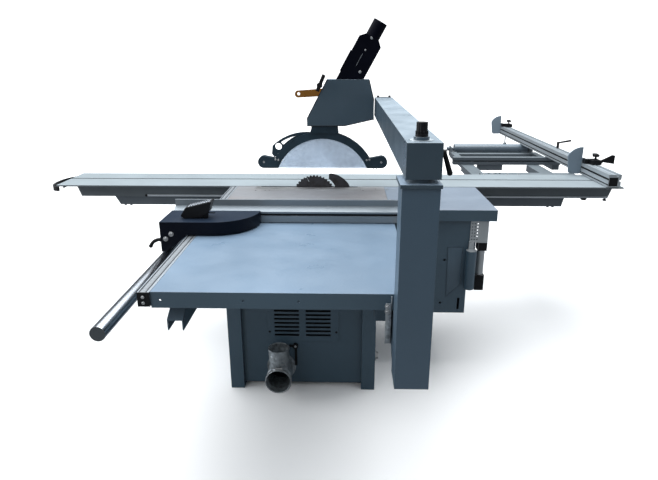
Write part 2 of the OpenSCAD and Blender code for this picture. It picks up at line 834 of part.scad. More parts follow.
module saw_arbor() {
    flange_r = 40;
    nut_y = blade_y + blade_t / 2 + 8;
    color("#9aa1a6") {
        rod_y([arbor_x, belt_y0 - 4, arbor_z], nut_y + 14 - belt_y0 + 4, 15);
        rod_y([arbor_x, blade_y - 13, arbor_z], 13 - blade_t / 2, flange_r);
        rod_y([arbor_x, blade_y + blade_t / 2, arbor_z], 8, 30);
        translate([arbor_x, nut_y - eps, arbor_z]) rotate([-90, 0, 0]) cylinder(h = 11, d = 34, $fn = 6);
        difference() {
            rod_y([arbor_x, belt_y0 - 4, arbor_z], belt_y1 - belt_y0 + 8, arbor_pulley_r + 4);
            ring_y(arbor_z, arbor_pulley_r);
        }
    }
}

// Ring-shaped cut for the belt, outside the given radius
module ring_y(z, r) {
    difference() {
        rod_y([arbor_x, belt_y0, z], belt_y1 - belt_y0, r + 20);
        rod_y([arbor_x, belt_y0 - 1, z], belt_y1 - belt_y0 + 2, r);
    }
}

module saw_blade() {
    teeth = 40;
    tooth = 9;
    gullet_r = blade_r - tooth;
    color("#3b3f45") sweep_y(blade_y - blade_t / 2, blade_t) translate([arbor_x, arbor_z]) difference() {
        polygon([for (i = [0:teeth - 1], k = [0:2])
            let (a = (i + [0, 0.32, 0.62][k]) * 360 / teeth, r = [blade_r, blade_r - 1.5, gullet_r][k])
            [r * cos(a), r * sin(a)]]);
        circle(15 + run_gap);
        for (i = [0:3]) rotate(i * 90 + 20) translate([gullet_r - 12, 0]) square([26, 1.6], center = true);
    }
}

module riving_knife() {
    knife_t = 2.4;
    inner_r = blade_r + 8;
    c = [arbor_x, arbor_z];
    base_a = -17;
    tip_a = 58;
    n = 20;
    color("#4a4e52") sweep_y(blade_y - knife_t / 2, knife_t)
        polygon(concat(arc(c, inner_r, base_a, tip_a - 6, n),
            [for (i = [0:n])
                let (f = i / n, a = tip_a + (base_a - tip_a) * f, r = 157 + 52 * pow(min(1, f * 2), 0.75))
                [c[0] + r * cos(a), c[1] + r * sin(a)]]));
}

module saw_motor() {
    body_r = 85;
    body_l = 250;
    fins = 16;
    color("#4d5c66") {
        difference() {
            rod_y([arbor_x, 21.5 - body_l, motor_z], body_l, body_r - 6);
            rod_y([arbor_x, 10, motor_z], 14, 14.5);
        }
        for (i = [0:fins - 1])
            translate([arbor_x, 5, motor_z]) rotate([0, i * 360 / fins, 0])
                box([-2.5, 50 - body_l, body_r - 8], [2.5, -20, body_r]);
        box([arbor_x - 50, -170, motor_z - body_r - 26], [arbor_x + 50, -70, motor_z - body_r + 8]);
    }
}

module motor_pulley() {
    color("#7b838a") {
        rod_y([arbor_x, 10.5, motor_z], belt_y1 - 6.5, 14);
        difference() {
            rod_y([arbor_x, belt_y0 - 1.5, motor_z], belt_y1 - belt_y0 + 5, motor_pulley_r + 4);
            ring_y(motor_z, motor_pulley_r);
        }
    }
}

module drive_belt() {
    belt_t = 5;
    gap = 0.1;
    y0 = belt_y0 + 2;
    w = belt_y1 - belt_y0 - 4;
    lean = asin((motor_pulley_r - arbor_pulley_r) / (arbor_z - motor_z));
    module run(r) {
        hull_pts = concat(
            arc([arbor_x, arbor_z], arbor_pulley_r + r, -lean, 180 + lean, 40),
            arc([arbor_x, motor_z], motor_pulley_r + r, 180 + lean, 360 - lean, 40));
        polygon(hull_pts);
    }
    color("#1c1c1c") sweep_y(y0, w) difference() {
        run(gap + belt_t);
        run(gap + 0.15);
    }
}

module scoring_motor() {
    body_r = 34;
    foot_z0 = table_z - 107.8;
    foot_z1 = score_z - 28;
    color("#4d5c66") {
        difference() {
            rod_y([score_x, -50, score_z], 230, body_r);
            rod_y([score_x, 150, score_z], 31, 10 + run_gap);
        }
        difference() {
            box([score_x - 60, 90, foot_z0], [score_x + 43, 124, foot_z1]);
            for (x = score_pins)
                rod_z([x, score_pin_y, foot_z0 - 1], foot_z1 - foot_z0 + 2, score_pin_r + run_gap);
        }
    }
}

module scoring_blade() {
    teeth = 24;
    color("#6a6f74") {
        sweep_y(blade_y - 1.3, 2.6) translate([score_x, score_z])
            polygon([for (i = [0:teeth - 1], k = [0:1])
                let (a = (i + 0.45 * k) * 360 / teeth, r = score_r - 5 * k) [r * cos(a), r * sin(a)]]);
        rod_y([score_x, 151, score_z], 56, 10);
        rod_y([score_x, blade_y - 8, score_z], 7, 24);
        rod_y([score_x, blade_y + 1, score_z], 7, 24);
    }
}

module rear_housing() {
    x0 = cab_x + 0.5;
    x1 = 852;
    y0 = -270;
    y1 = 180;
    z1 = table_z - fold_h - 1;
    z0 = 316;
    foot_z = 264;
    foot_w = 75;
    skin = 3;
    step = 29;
    step_z = 470;
    module face() {
        polygon(concat([[x0, foot_z], [x0 + foot_w, foot_z], [x0 + foot_w, z0], [x1 - step, z0]],
            arc([x1, step_z - step], step, 180, 90, 8), [[x1, z1], [x0, z1]]));
    }
    module inner() {
        polygon(concat([[x0 + skin, foot_z + skin], [x0 + foot_w - skin, foot_z + skin],
            [x0 + foot_w - skin, z0 + skin], [x1 - step - skin, z0 + skin]],
            arc([x1, step_z - step], step + skin, 180, 96, 8),
            [[x1 - skin, step_z + skin], [x1 - skin, z1 - skin], [x0 + skin, z1 - skin]]));
    }
    color("#3d4d5c") difference() {
        sweep_y(y0, y1 - y0) face();
        sweep_y(y0 + skin, y1 - y0 - 2 * skin) inner();
        // Service holes and vertical slot
        for (p = [[705, 607], [697, 372]]) rod_y([p[0], y0 - 1, p[1]], skin + 2, 6);
        box([783, y0 - 1, 335], [795, y0 + skin + 1, 400]);
    }
}

module lift_actuator() {
    plate_x0 = 821;
    plate_x1 = 909;
    plate_z0 = 702;
    plate_z1 = table_z - fold_h - 1;
    front_y = -276;
    body_x = 888;
    tube_x = 829;
    color("#8f979c") {
        // Perforated bracket under the rear table, folded at its far edge
        difference() {
            box([plate_x0, front_y, plate_z0], [plate_x1, front_y + 4, plate_z1]);
            for (z = [0:5], x = [0:2])
                rod_y([plate_x0 + 9 + 13 * x, front_y - 1, plate_z0 + 16 + z * 16], 6, 3.5);
        }
        box([plate_x1 - 4, front_y, plate_z0], [plate_x1, front_y + 56, plate_z1]);
        // Slim actuator: head, tube and motor
        box([body_x - 22, front_y + 3, 658], [body_x + 22, front_y + 56, plate_z0 + 1]);
        rod_z([body_x, front_y + 30, 520], 145, 19);
        box([body_x - 22, front_y + 8, 443], [body_x + 22, front_y + 52, 526]);
        // Guide tube beside it, and its lug
        rod_z([tube_x, front_y - 22, 465], 204, 25);
        box([tube_x - 12, front_y - 12, 655], [tube_x + 12, front_y + 2, plate_z0 + 8]);
    }
}

// ---------- sliding table ----------

module slide_bed() {
    wall = 6;
    chamfer = 36;
    track_w = 22;
    color("#5b646b") {
        difference() {
            sweep_y(bed_y0, bed_y1 - bed_y0)
                polygon([[bed_x0, bed_z1], [bed_x0 + chamfer, bed_z0],
                    [bed_x1 - chamfer * 0.4, bed_z0], [bed_x1, bed_z1]]);
            box([bed_x0 - 1, bed_y0 + wall, bed_z0 + wall], [bed_x1 + 1, bed_y1 - wall, bed_z1 - wall]);
        }
        for (y = [bed_y0 + 8, bed_y1 - 8 - track_w])
            box([bed_x0 + 10, y, bed_z1 - eps], [bed_x1 - 10, y + track_w, track_z]);
        // Pads that stand on the cabinet
        for (x = [-cab_x + 4, cab_x - 34])
            box([x, bed_y0 + 10, bed_seat_z], [x + 30, cab_y - 35, bed_z0 + eps]);
        for (x = [bed_x0 + 60, bed_x0 + 95, bed_x1 - 60, bed_x1 - 90])
            rod_z([x, bed_y0 + 12, bed_z0 - 7], 7 + eps, 7);
    }
}

module roller_cage() {
    cage_x0 = -590;
    count = 11;
    pitch = 125;
    mid_z = track_z + cage_r;
    color("#8a8f94") {
        for (y = [bed_y0 + 10, bed_y1 - 28])
            box([cage_x0, y, mid_z - 2], [cage_x0 + count * pitch, y + 18, mid_z + 2]);
        for (i = [0, count / 2, count - 0.1])
            box([cage_x0 + i * pitch, bed_y0 + 20, mid_z - 2],
                [cage_x0 + i * pitch + 12, bed_y1 - 20, mid_z + 2]);
        for (i = [0:count - 1], y = [bed_y0 + 11, bed_y1 - 27])
            rod_y([cage_x0 + (i + 0.5) * pitch, y, mid_z], 16, cage_r - run_gap);
    }
}

module sliding_table() {
    skin = 8;
    wall = 6;
    groove_y = blade_y + 205;
    groove = 16;
    deck_z = table_z - skin + eps;
    web_bot = table_z - 92;
    slant = 28;
    web_x0 = slide_x0 + 57;
    web_x1 = slide_x0 + slide_len - 0.5;
    ride_in = slant * (deck_z - ride_z) / (deck_z - web_bot);
    module deck() {
        square_yz(slide_y0, slide_y1, table_z - skin, table_z);
        square_yz(groove_y - 20, groove_y + 20, table_z - 22, table_z);
        square_yz(slide_y1 - 6, slide_y1, table_z - 34, table_z);
    }
    color("#b7c3c9") difference() {
        union() {
            sweep_x(slide_x0, slide_len) difference() {
                deck();
                square_yz(groove_y - groove / 2, groove_y + groove / 2, table_z - 14, table_z + 1);
                square_yz(groove_y - 13, groove_y + 13, table_z - 14, table_z - 8);
            }
            // Side webs with slanted ends, and the plate that rides on the rollers
            for (y = [web_y0, web_y1 - wall])
                sweep_y(y, wall)
                    polygon([[web_x0, deck_z], [web_x0 + slant, web_bot], [web_x1 - slant, web_bot],
                        [web_x1, deck_z]]);
            box([web_x0 + ride_in + 1, web_y0 + eps, ride_z],
                [web_x1 - ride_in - 1, web_y1 - eps, ride_z + wall]);
            // End plates
            for (e = [[web_x0, 1], [web_x1, -1]])
                sweep_y(web_y0 + eps, web_y1 - web_y0 - 2 * eps)
                    polygon([[e[0], deck_z], [e[0] + e[1] * wall, deck_z],
                        [e[0] + e[1] * (ride_in + wall), ride_z], [e[0] + e[1] * ride_in, ride_z]]);
        }
        // Hole for the crosscut fence's pivot pin
        rod_z([pin_x, pin_y, table_z - skin - 1], skin + 2, 8 + run_gap);
    }
}

// Rectangle in (y, z)
module square_yz(y0, y1, z0, z1) {
    translate([y0, z0]) square([y1 - y0, z1 - z0]);
}

module end_handle() {
    reach = 78;
    width = 160;
    bar = 15;
    cy = (slide_y0 + slide_y1) / 2;
    h = 26;
    function half_oval(a, b) =
        [for (i = [0:24]) let (t = 90 + i * 7.5) [slide_x0 - 0.2 + a * cos(t), cy + b * sin(t)]];
    color("#14171a") {
        translate([0, 0, table_z - 40]) linear_extrude(h) difference() {
            polygon(half_oval(reach, width));
            polygon(half_oval(reach - bar, width - bar));
        }
    }
}

module outrigger_frame() {
    mem_z0 = table_z - 104;
    mem_z1 = table_z - 58 + eps;
    arm_z = table_z - 100;
    plate_x0 = 1068;
    plate_x1 = 1662;
    member_w = 90;
    side = 50;
    color("#98a5ad") {
        // Rail bolted to the far side of the sliding table
        box([plate_x0, slide_y1 + 0.2, table_z - 62], [plate_x1, slide_y1 + 90, table_z - 6]);
        for (x = [1120, 1165, 1190]) rod_z([x, slide_y1 + 60, table_z - 6 - eps], 5, 7);
        // Two long members out to the front beam
        for (x = [out_x0, out_x1 - member_w])
            box([x, slide_y1 + 60, mem_z0], [x + member_w, beam_y + 2, mem_z1]);
        // Front beam, hollow, and its hanging bracket
        difference() {
            box([1006, beam_y, table_z - 58], [1791, beam_y + 50, table_z - 4]);
            box([1005, beam_y + 5, table_z - 53], [1792, beam_y + 45, table_z - 9]);
            box([1005, beam_y - 1, table_z - 36], [1792, beam_y + 6, table_z - 26]);
        }
        box([1190, beam_y + 5, table_z - 100], [1370, beam_y + 45, table_z - 58 + eps]);
        // Arms and cross bar that hold the roller
        for (x = [1085, 1745]) {
            box([x, beam_y + 30, arm_z], [x + side, roll_y - 70, table_z - 56]);
            difference() {
                box([x + 8, roll_y - 90, arm_z], [x + 20, roll_y + 34, roll_z + 20]);
                rod_x([x, roll_y, roll_z], side, 10 + run_gap);
            }
        }
        box([1085, roll_y - 150, arm_z], [1795, roll_y - 90, arm_z + 40]);
    }
}

module outrigger_roller() {
    color("#5b6c78") {
        rod_x([1129, roll_y, roll_z], 612, roll_r);
        rod_x([1085, roll_y, roll_z], 690, 10);
        rod_x([1070, roll_y, roll_z], 18, 17);
    }
}

// ---------- crosscut fence ----------

module crosscut_fence() {
    wall = 5;
    x1 = cross_x0 + cross_w;
    y1 = cross_y0 + cross_len;
    mid = cross_z0 + cross_h / 2;
    color("#c3ccd2") {
        difference() {
            box([cross_x0, cross_y0, cross_z0], [x1, y1, cross_top]);
            box([cross_x0 + wall, cross_y0 - 1, cross_z0 + wall],
                [x1 - wall - 12, y1 + 1, cross_top - wall - 12]);
            // Top, side and rear slots
            box([x1 - 26, cross_y0 - 1, cross_top - 10], [x1 - 16, y1 + 1, cross_top + 1]);
            box([x1 - 9, cross_y0 - 1, mid - 6], [x1 + 1, y1 + 1, mid + 6]);
            for (z = [[9, 17], [38, 50]])
                box([cross_x0 - 1, cross_y0 - 1, cross_z0 + z[0]], [cross_x0 + 3, y1 + 1, cross_z0 + z[1]]);
            box([cross_x0 + 22, cross_y0 - 1, cross_top - 2], [cross_x0 + 40, y1 + 1, cross_top + 1]);
        }
        // Pivot disc and pin at the near end
        rod_z([pin_x, pin_y, table_z + 0.2], 2.9, 28);
        rod_z([pin_x, pin_y, table_z - 20], 21, 8);
        // Clamp screw and hand knob below the far end
        rod_z([pin_x, 2390, cross_z0 - 74], 74 + eps, 5);
        rod_z([pin_x, 2390, cross_z0 - 94], 22, 15);
    }
}

module fence_lever() {
    x = cross_x0 + 56;
    y = 1150;
    color("#15171a") {
        rod_z([x, y, cross_top + 0.2], 44, 9);
        translate([x, y, cross_top + 38]) rotate([0, 80, 0]) cylinder(h = 84, r1 = 6, r2 = 7.5);
        translate([x + 84 * sin(80), y, cross_top + 38 + 84 * cos(80)]) sphere(8);
    }
}

// Slider of a flip stop: block on the fence with its hinge pin and clamp knob
module stop_slider(stop_y, wing) {
    block_l = 80;
    y1 = stop_y - 14;
    top = cross_top + 27;
    color("#16191c") {
        box([cross_x0 + 24, y1 - block_l, cross_top + 0.3], [cross_x0 + 82, y1, top]);
        box([cross_x0 - 3, y1 - 40, cross_top + 0.3], [cross_x0 + 25, y1, top]);
        rod_y([hub_x, y1 - eps, hub_z], 32, 5);
        // Clamp knob
        rod_z([cross_x0 + 58, y1 - 40, top - eps], 20, 6);
        rod_z([cross_x0 + 58, y1 - 40, top + 18], 13, 20);
        if (wing)
            sweep_y(y1 - 60, 12)
                polygon([[cross_x0 + 81, top - 22], [cross_x0 + 100, top - 14], [cross_x0 + 165, top - 24],
                    [cross_x0 + 165, top + 28], [cross_x0 + 150, top + 30], [cross_x0 + 100, top + 4],
                    [cross_x0 + 81, top - 4]]);
    }
}

module flip_stop(stop_y) {
    plate_t = 10;
    x1 = cross_x0 - 1.5;
    x0 = x1 - 76;
    z0 = cross_z0 + 1.5;
    z1 = table_z + 170;
    color("#4c5a66") difference() {
        sweep_y(stop_y - plate_t / 2, plate_t) union() {
            polygon(concat([[x0, z0 + 12], [x0 + 12, z0], [x1 - 10, z0], [x1, z0 + 12], [x1, z1]],
                arc([x1 - 4, z1 - 92], 92, 88, 156, 10)));
            translate([hub_x, hub_z]) circle(hub_r);
            translate([x1 - 20, hub_z - hub_r]) square([hub_x - x1 + 20, 2 * hub_r]);
        }
        rod_y([hub_x, stop_y - plate_t, hub_z], 2 * plate_t, 5 + run_gap);
    }
}

module stop_slider_near() stop_slider(near_stop_y, true);
module flip_stop_near() flip_stop(near_stop_y);
module stop_slider_far() stop_slider(far_stop_y, false);
module flip_stop_far() flip_stop(far_stop_y);

base_cabinet();
side_panel();
louvre_cover();
panel_latch();
dust_manifold();
hose_clamp();
main_table();
table_insert();
rear_table();
extension_table();
left_table_arm();
right_table_arm();
guide_rail();
rail_end_cap();
fence_bar();
bar_standoffs();
fence_head();
bar_saddle();
fence_profile();
fence_clamp_lever();
scale_viewer();
guard_post();
post_plate();
guard_arm();
arm_knob();
arm_clamp_lever();
guard_housing();
dust_duct();
release_lever();
toggle_clamp();
hood_frame();
hood_handle();
hood_shields();
infeed_roller();
outfeed_roller();
trunnion_cradles();
tilt_frame();
saw_carriage();
saw_arbor();
saw_blade();
riving_knife();
saw_motor();
motor_pulley();
drive_belt();
scoring_motor();
scoring_blade();
rear_housing();
lift_actuator();
slide_bed();
roller_cage();
sliding_table();
end_handle();
outrigger_frame();
outrigger_roller();
crosscut_fence();
fence_lever();
stop_slider_near();
flip_stop_near();
stop_slider_far();
flip_stop_far();
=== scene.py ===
"""Looks of the panel saw, in metres.

Materials for every CAD node, small fittings, floor, light and camera.
"""

import json
import math

import bmesh
import bpy
from mathutils import Matrix, Vector

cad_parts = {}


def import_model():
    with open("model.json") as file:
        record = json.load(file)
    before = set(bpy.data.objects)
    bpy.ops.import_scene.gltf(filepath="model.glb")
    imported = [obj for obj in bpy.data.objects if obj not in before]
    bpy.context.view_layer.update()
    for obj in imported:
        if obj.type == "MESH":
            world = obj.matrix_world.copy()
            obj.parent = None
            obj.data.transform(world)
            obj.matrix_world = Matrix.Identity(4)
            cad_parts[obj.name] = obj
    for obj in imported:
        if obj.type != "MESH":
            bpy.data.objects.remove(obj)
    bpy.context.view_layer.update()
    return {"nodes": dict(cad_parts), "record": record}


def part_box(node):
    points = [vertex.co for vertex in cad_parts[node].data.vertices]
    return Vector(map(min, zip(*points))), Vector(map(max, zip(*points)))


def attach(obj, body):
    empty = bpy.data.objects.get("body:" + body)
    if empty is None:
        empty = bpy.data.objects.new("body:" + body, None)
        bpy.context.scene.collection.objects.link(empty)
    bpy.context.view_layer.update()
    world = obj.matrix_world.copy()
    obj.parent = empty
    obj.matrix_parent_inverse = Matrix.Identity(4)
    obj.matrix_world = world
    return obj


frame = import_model()
nodes = frame["nodes"]

X, Y, Z = Vector((1, 0, 0)), Vector((0, 1, 0)), Vector((0, 0, 1))
MM = 0.001


# ---------- material helpers ----------

class Finish:
    """One procedural material: a Principled surface whose inputs are filled in step by step."""

    def __init__(self, name):
        self.mat = bpy.data.materials.new(name)
        self.mat.use_nodes = True
        self.tree = self.mat.node_tree
        self.tree.nodes.clear()
        self.out = self.node("ShaderNodeOutputMaterial")
        self.bsdf = self.node("ShaderNodeBsdfPrincipled")
        self.link(self.bsdf.outputs[0], self.out.inputs["Surface"])
        self.place = self.node("ShaderNodeTexCoord").outputs["Object"]
        self.normal = self.node("ShaderNodeNewGeometry").outputs["Normal"]

    def node(self, kind, **values):
        made = self.tree.nodes.new(kind)
        for key, value in values.items():
            setattr(made, key, value)
        return made

    def link(self, source, target):
        self.tree.links.new(source, target)

    def feed(self, target, value):
        """Sets an input from a socket or from a plain value."""
        if isinstance(value, bpy.types.NodeSocket):
            self.link(value, target)
        else:
            target.default_value = value

    def math(self, operation, a, b=0.0):
        made = self.node("ShaderNodeMath", operation=operation)
        self.feed(made.inputs[0], a)
        self.feed(made.inputs[1], b)
        return made.outputs[0]

    def span(self, value, low, high, to_low, to_high):
        """Maps a value from one range to another, clamped."""
        made = self.node("ShaderNodeMapRange")
        for socket, given in zip(made.inputs, (value, low, high, to_low, to_high)):
            self.feed(socket, given)
        return made.outputs[0]

    def noise(self, scale, detail=3.0, stretch=(1, 1, 1)):
        mapping = self.node("ShaderNodeMapping")
        mapping.inputs["Scale"].default_value = stretch
        self.link(self.place, mapping.inputs["Vector"])
        made = self.node("ShaderNodeTexNoise")
        made.inputs["Scale"].default_value = scale
        made.inputs["Detail"].default_value = detail
        self.link(mapping.outputs[0], made.inputs["Vector"])
        return made.outputs["Fac"]

    def mix(self, share, a, b):
        """Mixes two colours, each a tuple or a socket."""
        made = self.node("ShaderNodeMix", data_type="RGBA")
        self.feed(made.inputs["Factor"], share)
        for socket, value in ((made.inputs[6], a), (made.inputs[7], b)):
            self.feed(socket, (*value, 1.0) if isinstance(value, tuple) else value)
        return made.outputs[2]

    def shade(self, colour, factor):
        """Multiplies a colour by a number."""
        made = self.node("ShaderNodeHueSaturation")
        self.feed(made.inputs["Color"], (*colour, 1.0) if isinstance(colour, tuple) else colour)
        self.feed(made.inputs["Value"], factor)
        return made.outputs[0]

    def rounded(self, radius):
        made = self.node("ShaderNodeBevel", samples=4)
        made.inputs["Radius"].default_value = radius
        return made.outputs[0]

    def edge(self, radius):
        """1 along edges, 0 on flats, broken up by noise."""
        dot = self.node("ShaderNodeVectorMath", operation="DOT_PRODUCT")
        self.link(self.rounded(radius), dot.inputs[0])
        self.link(self.normal, dot.inputs[1])
        sharp = self.span(self.math("SUBTRACT", 1.0, dot.outputs["Value"]), 0.02, 0.2, 0.0, 1.0)
        chips = self.span(self.noise(140, 5.0), 0.42, 0.62, 0.15, 1.0)
        return self.math("MULTIPLY", sharp, chips)

    def top_light_mask(self):
        """1 on faces that look up, 0 on the others; it picks the faces where a lighter top tone is painted
        as light from above.
        """
        split = self.node("ShaderNodeSeparateXYZ")
        self.link(self.normal, split.inputs[0])
        return self.span(split.outputs["Z"], 0.5, 0.85, 0.0, 1.0)

    def bump(self, height, strength, distance, radius=0.0):
        made = self.node("ShaderNodeBump")
        made.inputs["Strength"].default_value = strength
        made.inputs["Distance"].default_value = distance
        self.link(height, made.inputs["Height"])
        if radius:
            self.link(self.rounded(radius), made.inputs["Normal"])
        self.link(made.outputs[0], self.bsdf.inputs["Normal"])

    def set(self, **values):
        for key, value in values.items():
            self.feed(self.bsdf.inputs[key.replace("_", " ")], value)
        return self


def paint(name, side, top=None, rough=0.38, wear=(0.42, 0.46, 0.50), gloss=0.5):
    """Powder coat: fine orange peel, cloudy tone, edges rubbed lighter. Side and top are shaded and lit
    copies of one paint: top is painted light on faces that look up, side is painted shade on the other
    faces.
    """
    f = Finish(name)
    # Painted light and shade: faces that look up take the lighter top tone, the others the darker side
    # tone.
    colour = side if top is None else f.mix(f.top_light_mask(), side, top)
    clouds = f.span(f.noise(2.6, 4.0), 0.3, 0.7, 0.93, 1.07)
    speck = f.span(f.noise(420, 2.0), 0.35, 0.65, 0.985, 1.015)
    colour = f.shade(colour, f.math("MULTIPLY", clouds, speck))
    colour = f.mix(f.math("MULTIPLY", f.edge(0.0012), 0.55), colour, wear)
    smear = f.span(f.noise(9, 5.0), 0.3, 0.7, rough - 0.07, rough + 0.09)
    f.set(Base_Color=colour, Roughness=smear, Specular_IOR_Level=gloss)
    f.set(Coat_Weight=0.24 * gloss, Coat_Roughness=0.3)
    f.bump(f.noise(700, 2.0), 0.12, 0.0004, 0.0015)
    return f.mat


def brushed(name, colour, rough=0.32, metal=0.9, grain=(1, 60, 60), tone=0.1,
            wear=(0.85, 0.87, 0.9), top=None):
    """Metal with fine lines along one axis, where the grain's scale is smallest. A top colour, when given,
    is painted light on faces that look up, and the main colour is then painted shade on the rest.
    """
    f = Finish(name)
    # Painted light: faces that look up take the lighter top tone.
    if top is not None:
        colour = f.mix(f.top_light_mask(), colour, top)
    lines = f.noise(28, 6.0, grain)
    clouds = f.span(f.noise(5, 4.0), 0.3, 0.7, 1 - tone, 1 + tone)
    fine = f.span(lines, 0.3, 0.7, 1 - tone * 0.7, 1 + tone * 0.7)
    colour = f.shade(colour, f.math("MULTIPLY", clouds, fine))
    colour = f.mix(f.math("MULTIPLY", f.edge(0.0008), 0.6), colour, wear)
    f.set(Base_Color=colour, Metallic=metal, Roughness=f.span(lines, 0.25, 0.75, rough - 0.08, rough + 0.1))
    f.bump(lines, 0.10, 0.0003, 0.0008)
    return f.mat


def plastic(name, colour, rough=0.45, grain=900, wear=(0.10, 0.11, 0.12), strength=0.25, gloss=0.22):
    """Moulded plastic: pebbled skin, faint dust and scuffed edges."""
    f = Finish(name)
    tone = f.span(f.noise(14, 4.0), 0.3, 0.7, 0.85, 1.2)
    colour = f.shade(colour, tone)
    colour = f.mix(f.math("MULTIPLY", f.edge(0.001), 0.5), colour, wear)
    f.set(Base_Color=colour, Roughness=f.span(f.noise(30, 4.0), 0.3, 0.7, rough - 0.1, rough + 0.1))
    f.set(Specular_IOR_Level=gloss)
    f.bump(f.noise(grain, 2.0), strength, 0.0003, 0.001)
    return f.mat


# ---------- materials, one per slot of the record ----------

def ground_iron():
    """Ground cast table: brown-grey, fine grinding lines along the cut, darker stains."""
    f = Finish("ground_iron")
    lines = f.noise(16, 8.0, (1.2, 26, 26))
    stains = f.span(f.noise(3.2, 6.0, (0.7, 1.6, 1)), 0.42, 0.68, 0.0, 1.0)
    colour = f.mix(stains, (0.35, 0.365, 0.39), (0.245, 0.235, 0.24))
    colour = f.shade(colour, f.span(lines, 0.25, 0.75, 0.82, 1.15))
    scratch = f.span(f.noise(60, 2.0, (0.6, 9, 9)), 0.66, 0.72, 0.0, 0.6)
    colour = f.mix(scratch, colour, (0.55, 0.54, 0.53))
    f.set(Base_Color=colour, Metallic=0.55, Roughness=f.span(stains, 0, 1, 0.36, 0.5))
    f.bump(lines, 0.12, 0.0004, 0.001)
    return f.mat


def guide_bar_steel():
    """Hard chromed bar: nearly a mirror, with faint drawn lines along it and darker end faces."""
    f = Finish("guide_bar_steel")
    lines = f.noise(30, 4.0, (50, 1, 50))
    colour = f.shade((0.78, 0.83, 0.9), f.span(lines, 0.3, 0.7, 0.93, 1.05))
    split = f.node("ShaderNodeSeparateXYZ")
    f.link(f.normal, split.inputs[0])
    end_faces = f.span(f.math("ABSOLUTE", split.outputs["Y"]), 0.8, 0.95, 0.0, 1.0)
    colour = f.mix(end_faces, colour, (0.11, 0.12, 0.13))
    f.set(Base_Color=colour, Metallic=1.0, Roughness=f.span(lines, 0.3, 0.7, 0.13, 0.24))
    f.bump(lines, 0.04, 0.0002, 0.0006)
    return f.mat


def blade_steel():
    """Plate steel with turned rings about the arbor, and darker resin patches."""
    f = Finish("blade_steel")
    lo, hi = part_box("saw_blade")
    shift = f.node("ShaderNodeVectorMath", operation="SUBTRACT")
    f.link(f.place, shift.inputs[0])
    shift.inputs[1].default_value = (lo + hi) / 2
    rings = f.node("ShaderNodeTexWave", wave_type="RINGS", rings_direction="Y")
    rings.inputs["Scale"].default_value = 260
    rings.inputs["Distortion"].default_value = 3.0
    rings.inputs["Detail"].default_value = 3.0
    f.link(shift.outputs[0], rings.inputs["Vector"])
    resin = f.span(f.noise(22, 5.0), 0.4, 0.7, 0.0, 1.0)
    colour = f.mix(resin, (0.060, 0.060, 0.066), (0.030, 0.027, 0.026))
    colour = f.shade(colour, f.span(rings.outputs["Fac"], 0, 1, 0.85, 1.2))
    f.set(Base_Color=colour, Metallic=0.7, Roughness=f.span(resin, 0, 1, 0.34, 0.55))
    f.bump(rings.outputs["Fac"], 0.08, 0.0002)
    return f.mat


def galvanised():
    """Zinc-coated tube: crystal patches of slightly different tone."""
    f = Finish("galvanised")
    cells = f.node("ShaderNodeTexVoronoi", feature="F1")
    cells.inputs["Scale"].default_value = 90
    f.link(f.place, cells.inputs["Vector"])
    patch = f.node("ShaderNodeSeparateColor")
    f.link(cells.outputs["Color"], patch.inputs[0])
    colour = f.shade((0.36, 0.40, 0.43), f.span(patch.outputs[0], 0, 1, 0.72, 1.25))
    grime = f.span(f.noise(12, 5.0), 0.45, 0.7, 0.0, 0.7)
    colour = f.mix(grime, colour, (0.05, 0.055, 0.06))
    f.set(Base_Color=colour, Metallic=0.75, Roughness=f.span(patch.outputs[0], 0, 1, 0.32, 0.5))
    f.bump(cells.outputs["Distance"], 0.1, 0.0003, 0.001)
    return f.mat


def clear_shield():
    """Clear polycarbonate, hazed by fine scratches; light passes through it."""
    f = Finish("clear_shield")
    haze = f.span(f.noise(7, 5.0), 0.3, 0.7, 0.30, 0.55)
    through = f.node("ShaderNodeBsdfTransparent")
    through.inputs[0].default_value = (0.90, 0.945, 0.99, 1.0)
    blend = f.node("ShaderNodeMixShader")
    f.link(haze, blend.inputs[0])
    f.link(through.outputs[0], blend.inputs[1])
    f.link(f.bsdf.outputs[0], blend.inputs[2])
    f.link(blend.outputs[0], f.out.inputs["Surface"])
    colour = f.shade((0.62, 0.70, 0.80), f.span(f.noise(40, 4.0), 0.3, 0.7, 0.9, 1.1))
    f.set(Base_Color=colour, Roughness=0.22, Coat_Weight=0.5, Coat_Roughness=0.1)
    f.bump(f.noise(260, 3.0), 0.06, 0.0003)
    return f.mat


def belt_rubber():
    return plastic("belt_rubber", (0.02, 0.02, 0.02), 0.7, 300, (0.05, 0.05, 0.05))


# Side tones, painted shade on faces that do not look up. Below, the second colour of a paint and the top of
# a metal are painted light on faces that look up.
SHADED_SLATE = (0.054, 0.094, 0.130)
SHADED_GUARD = (0.036, 0.061, 0.084)

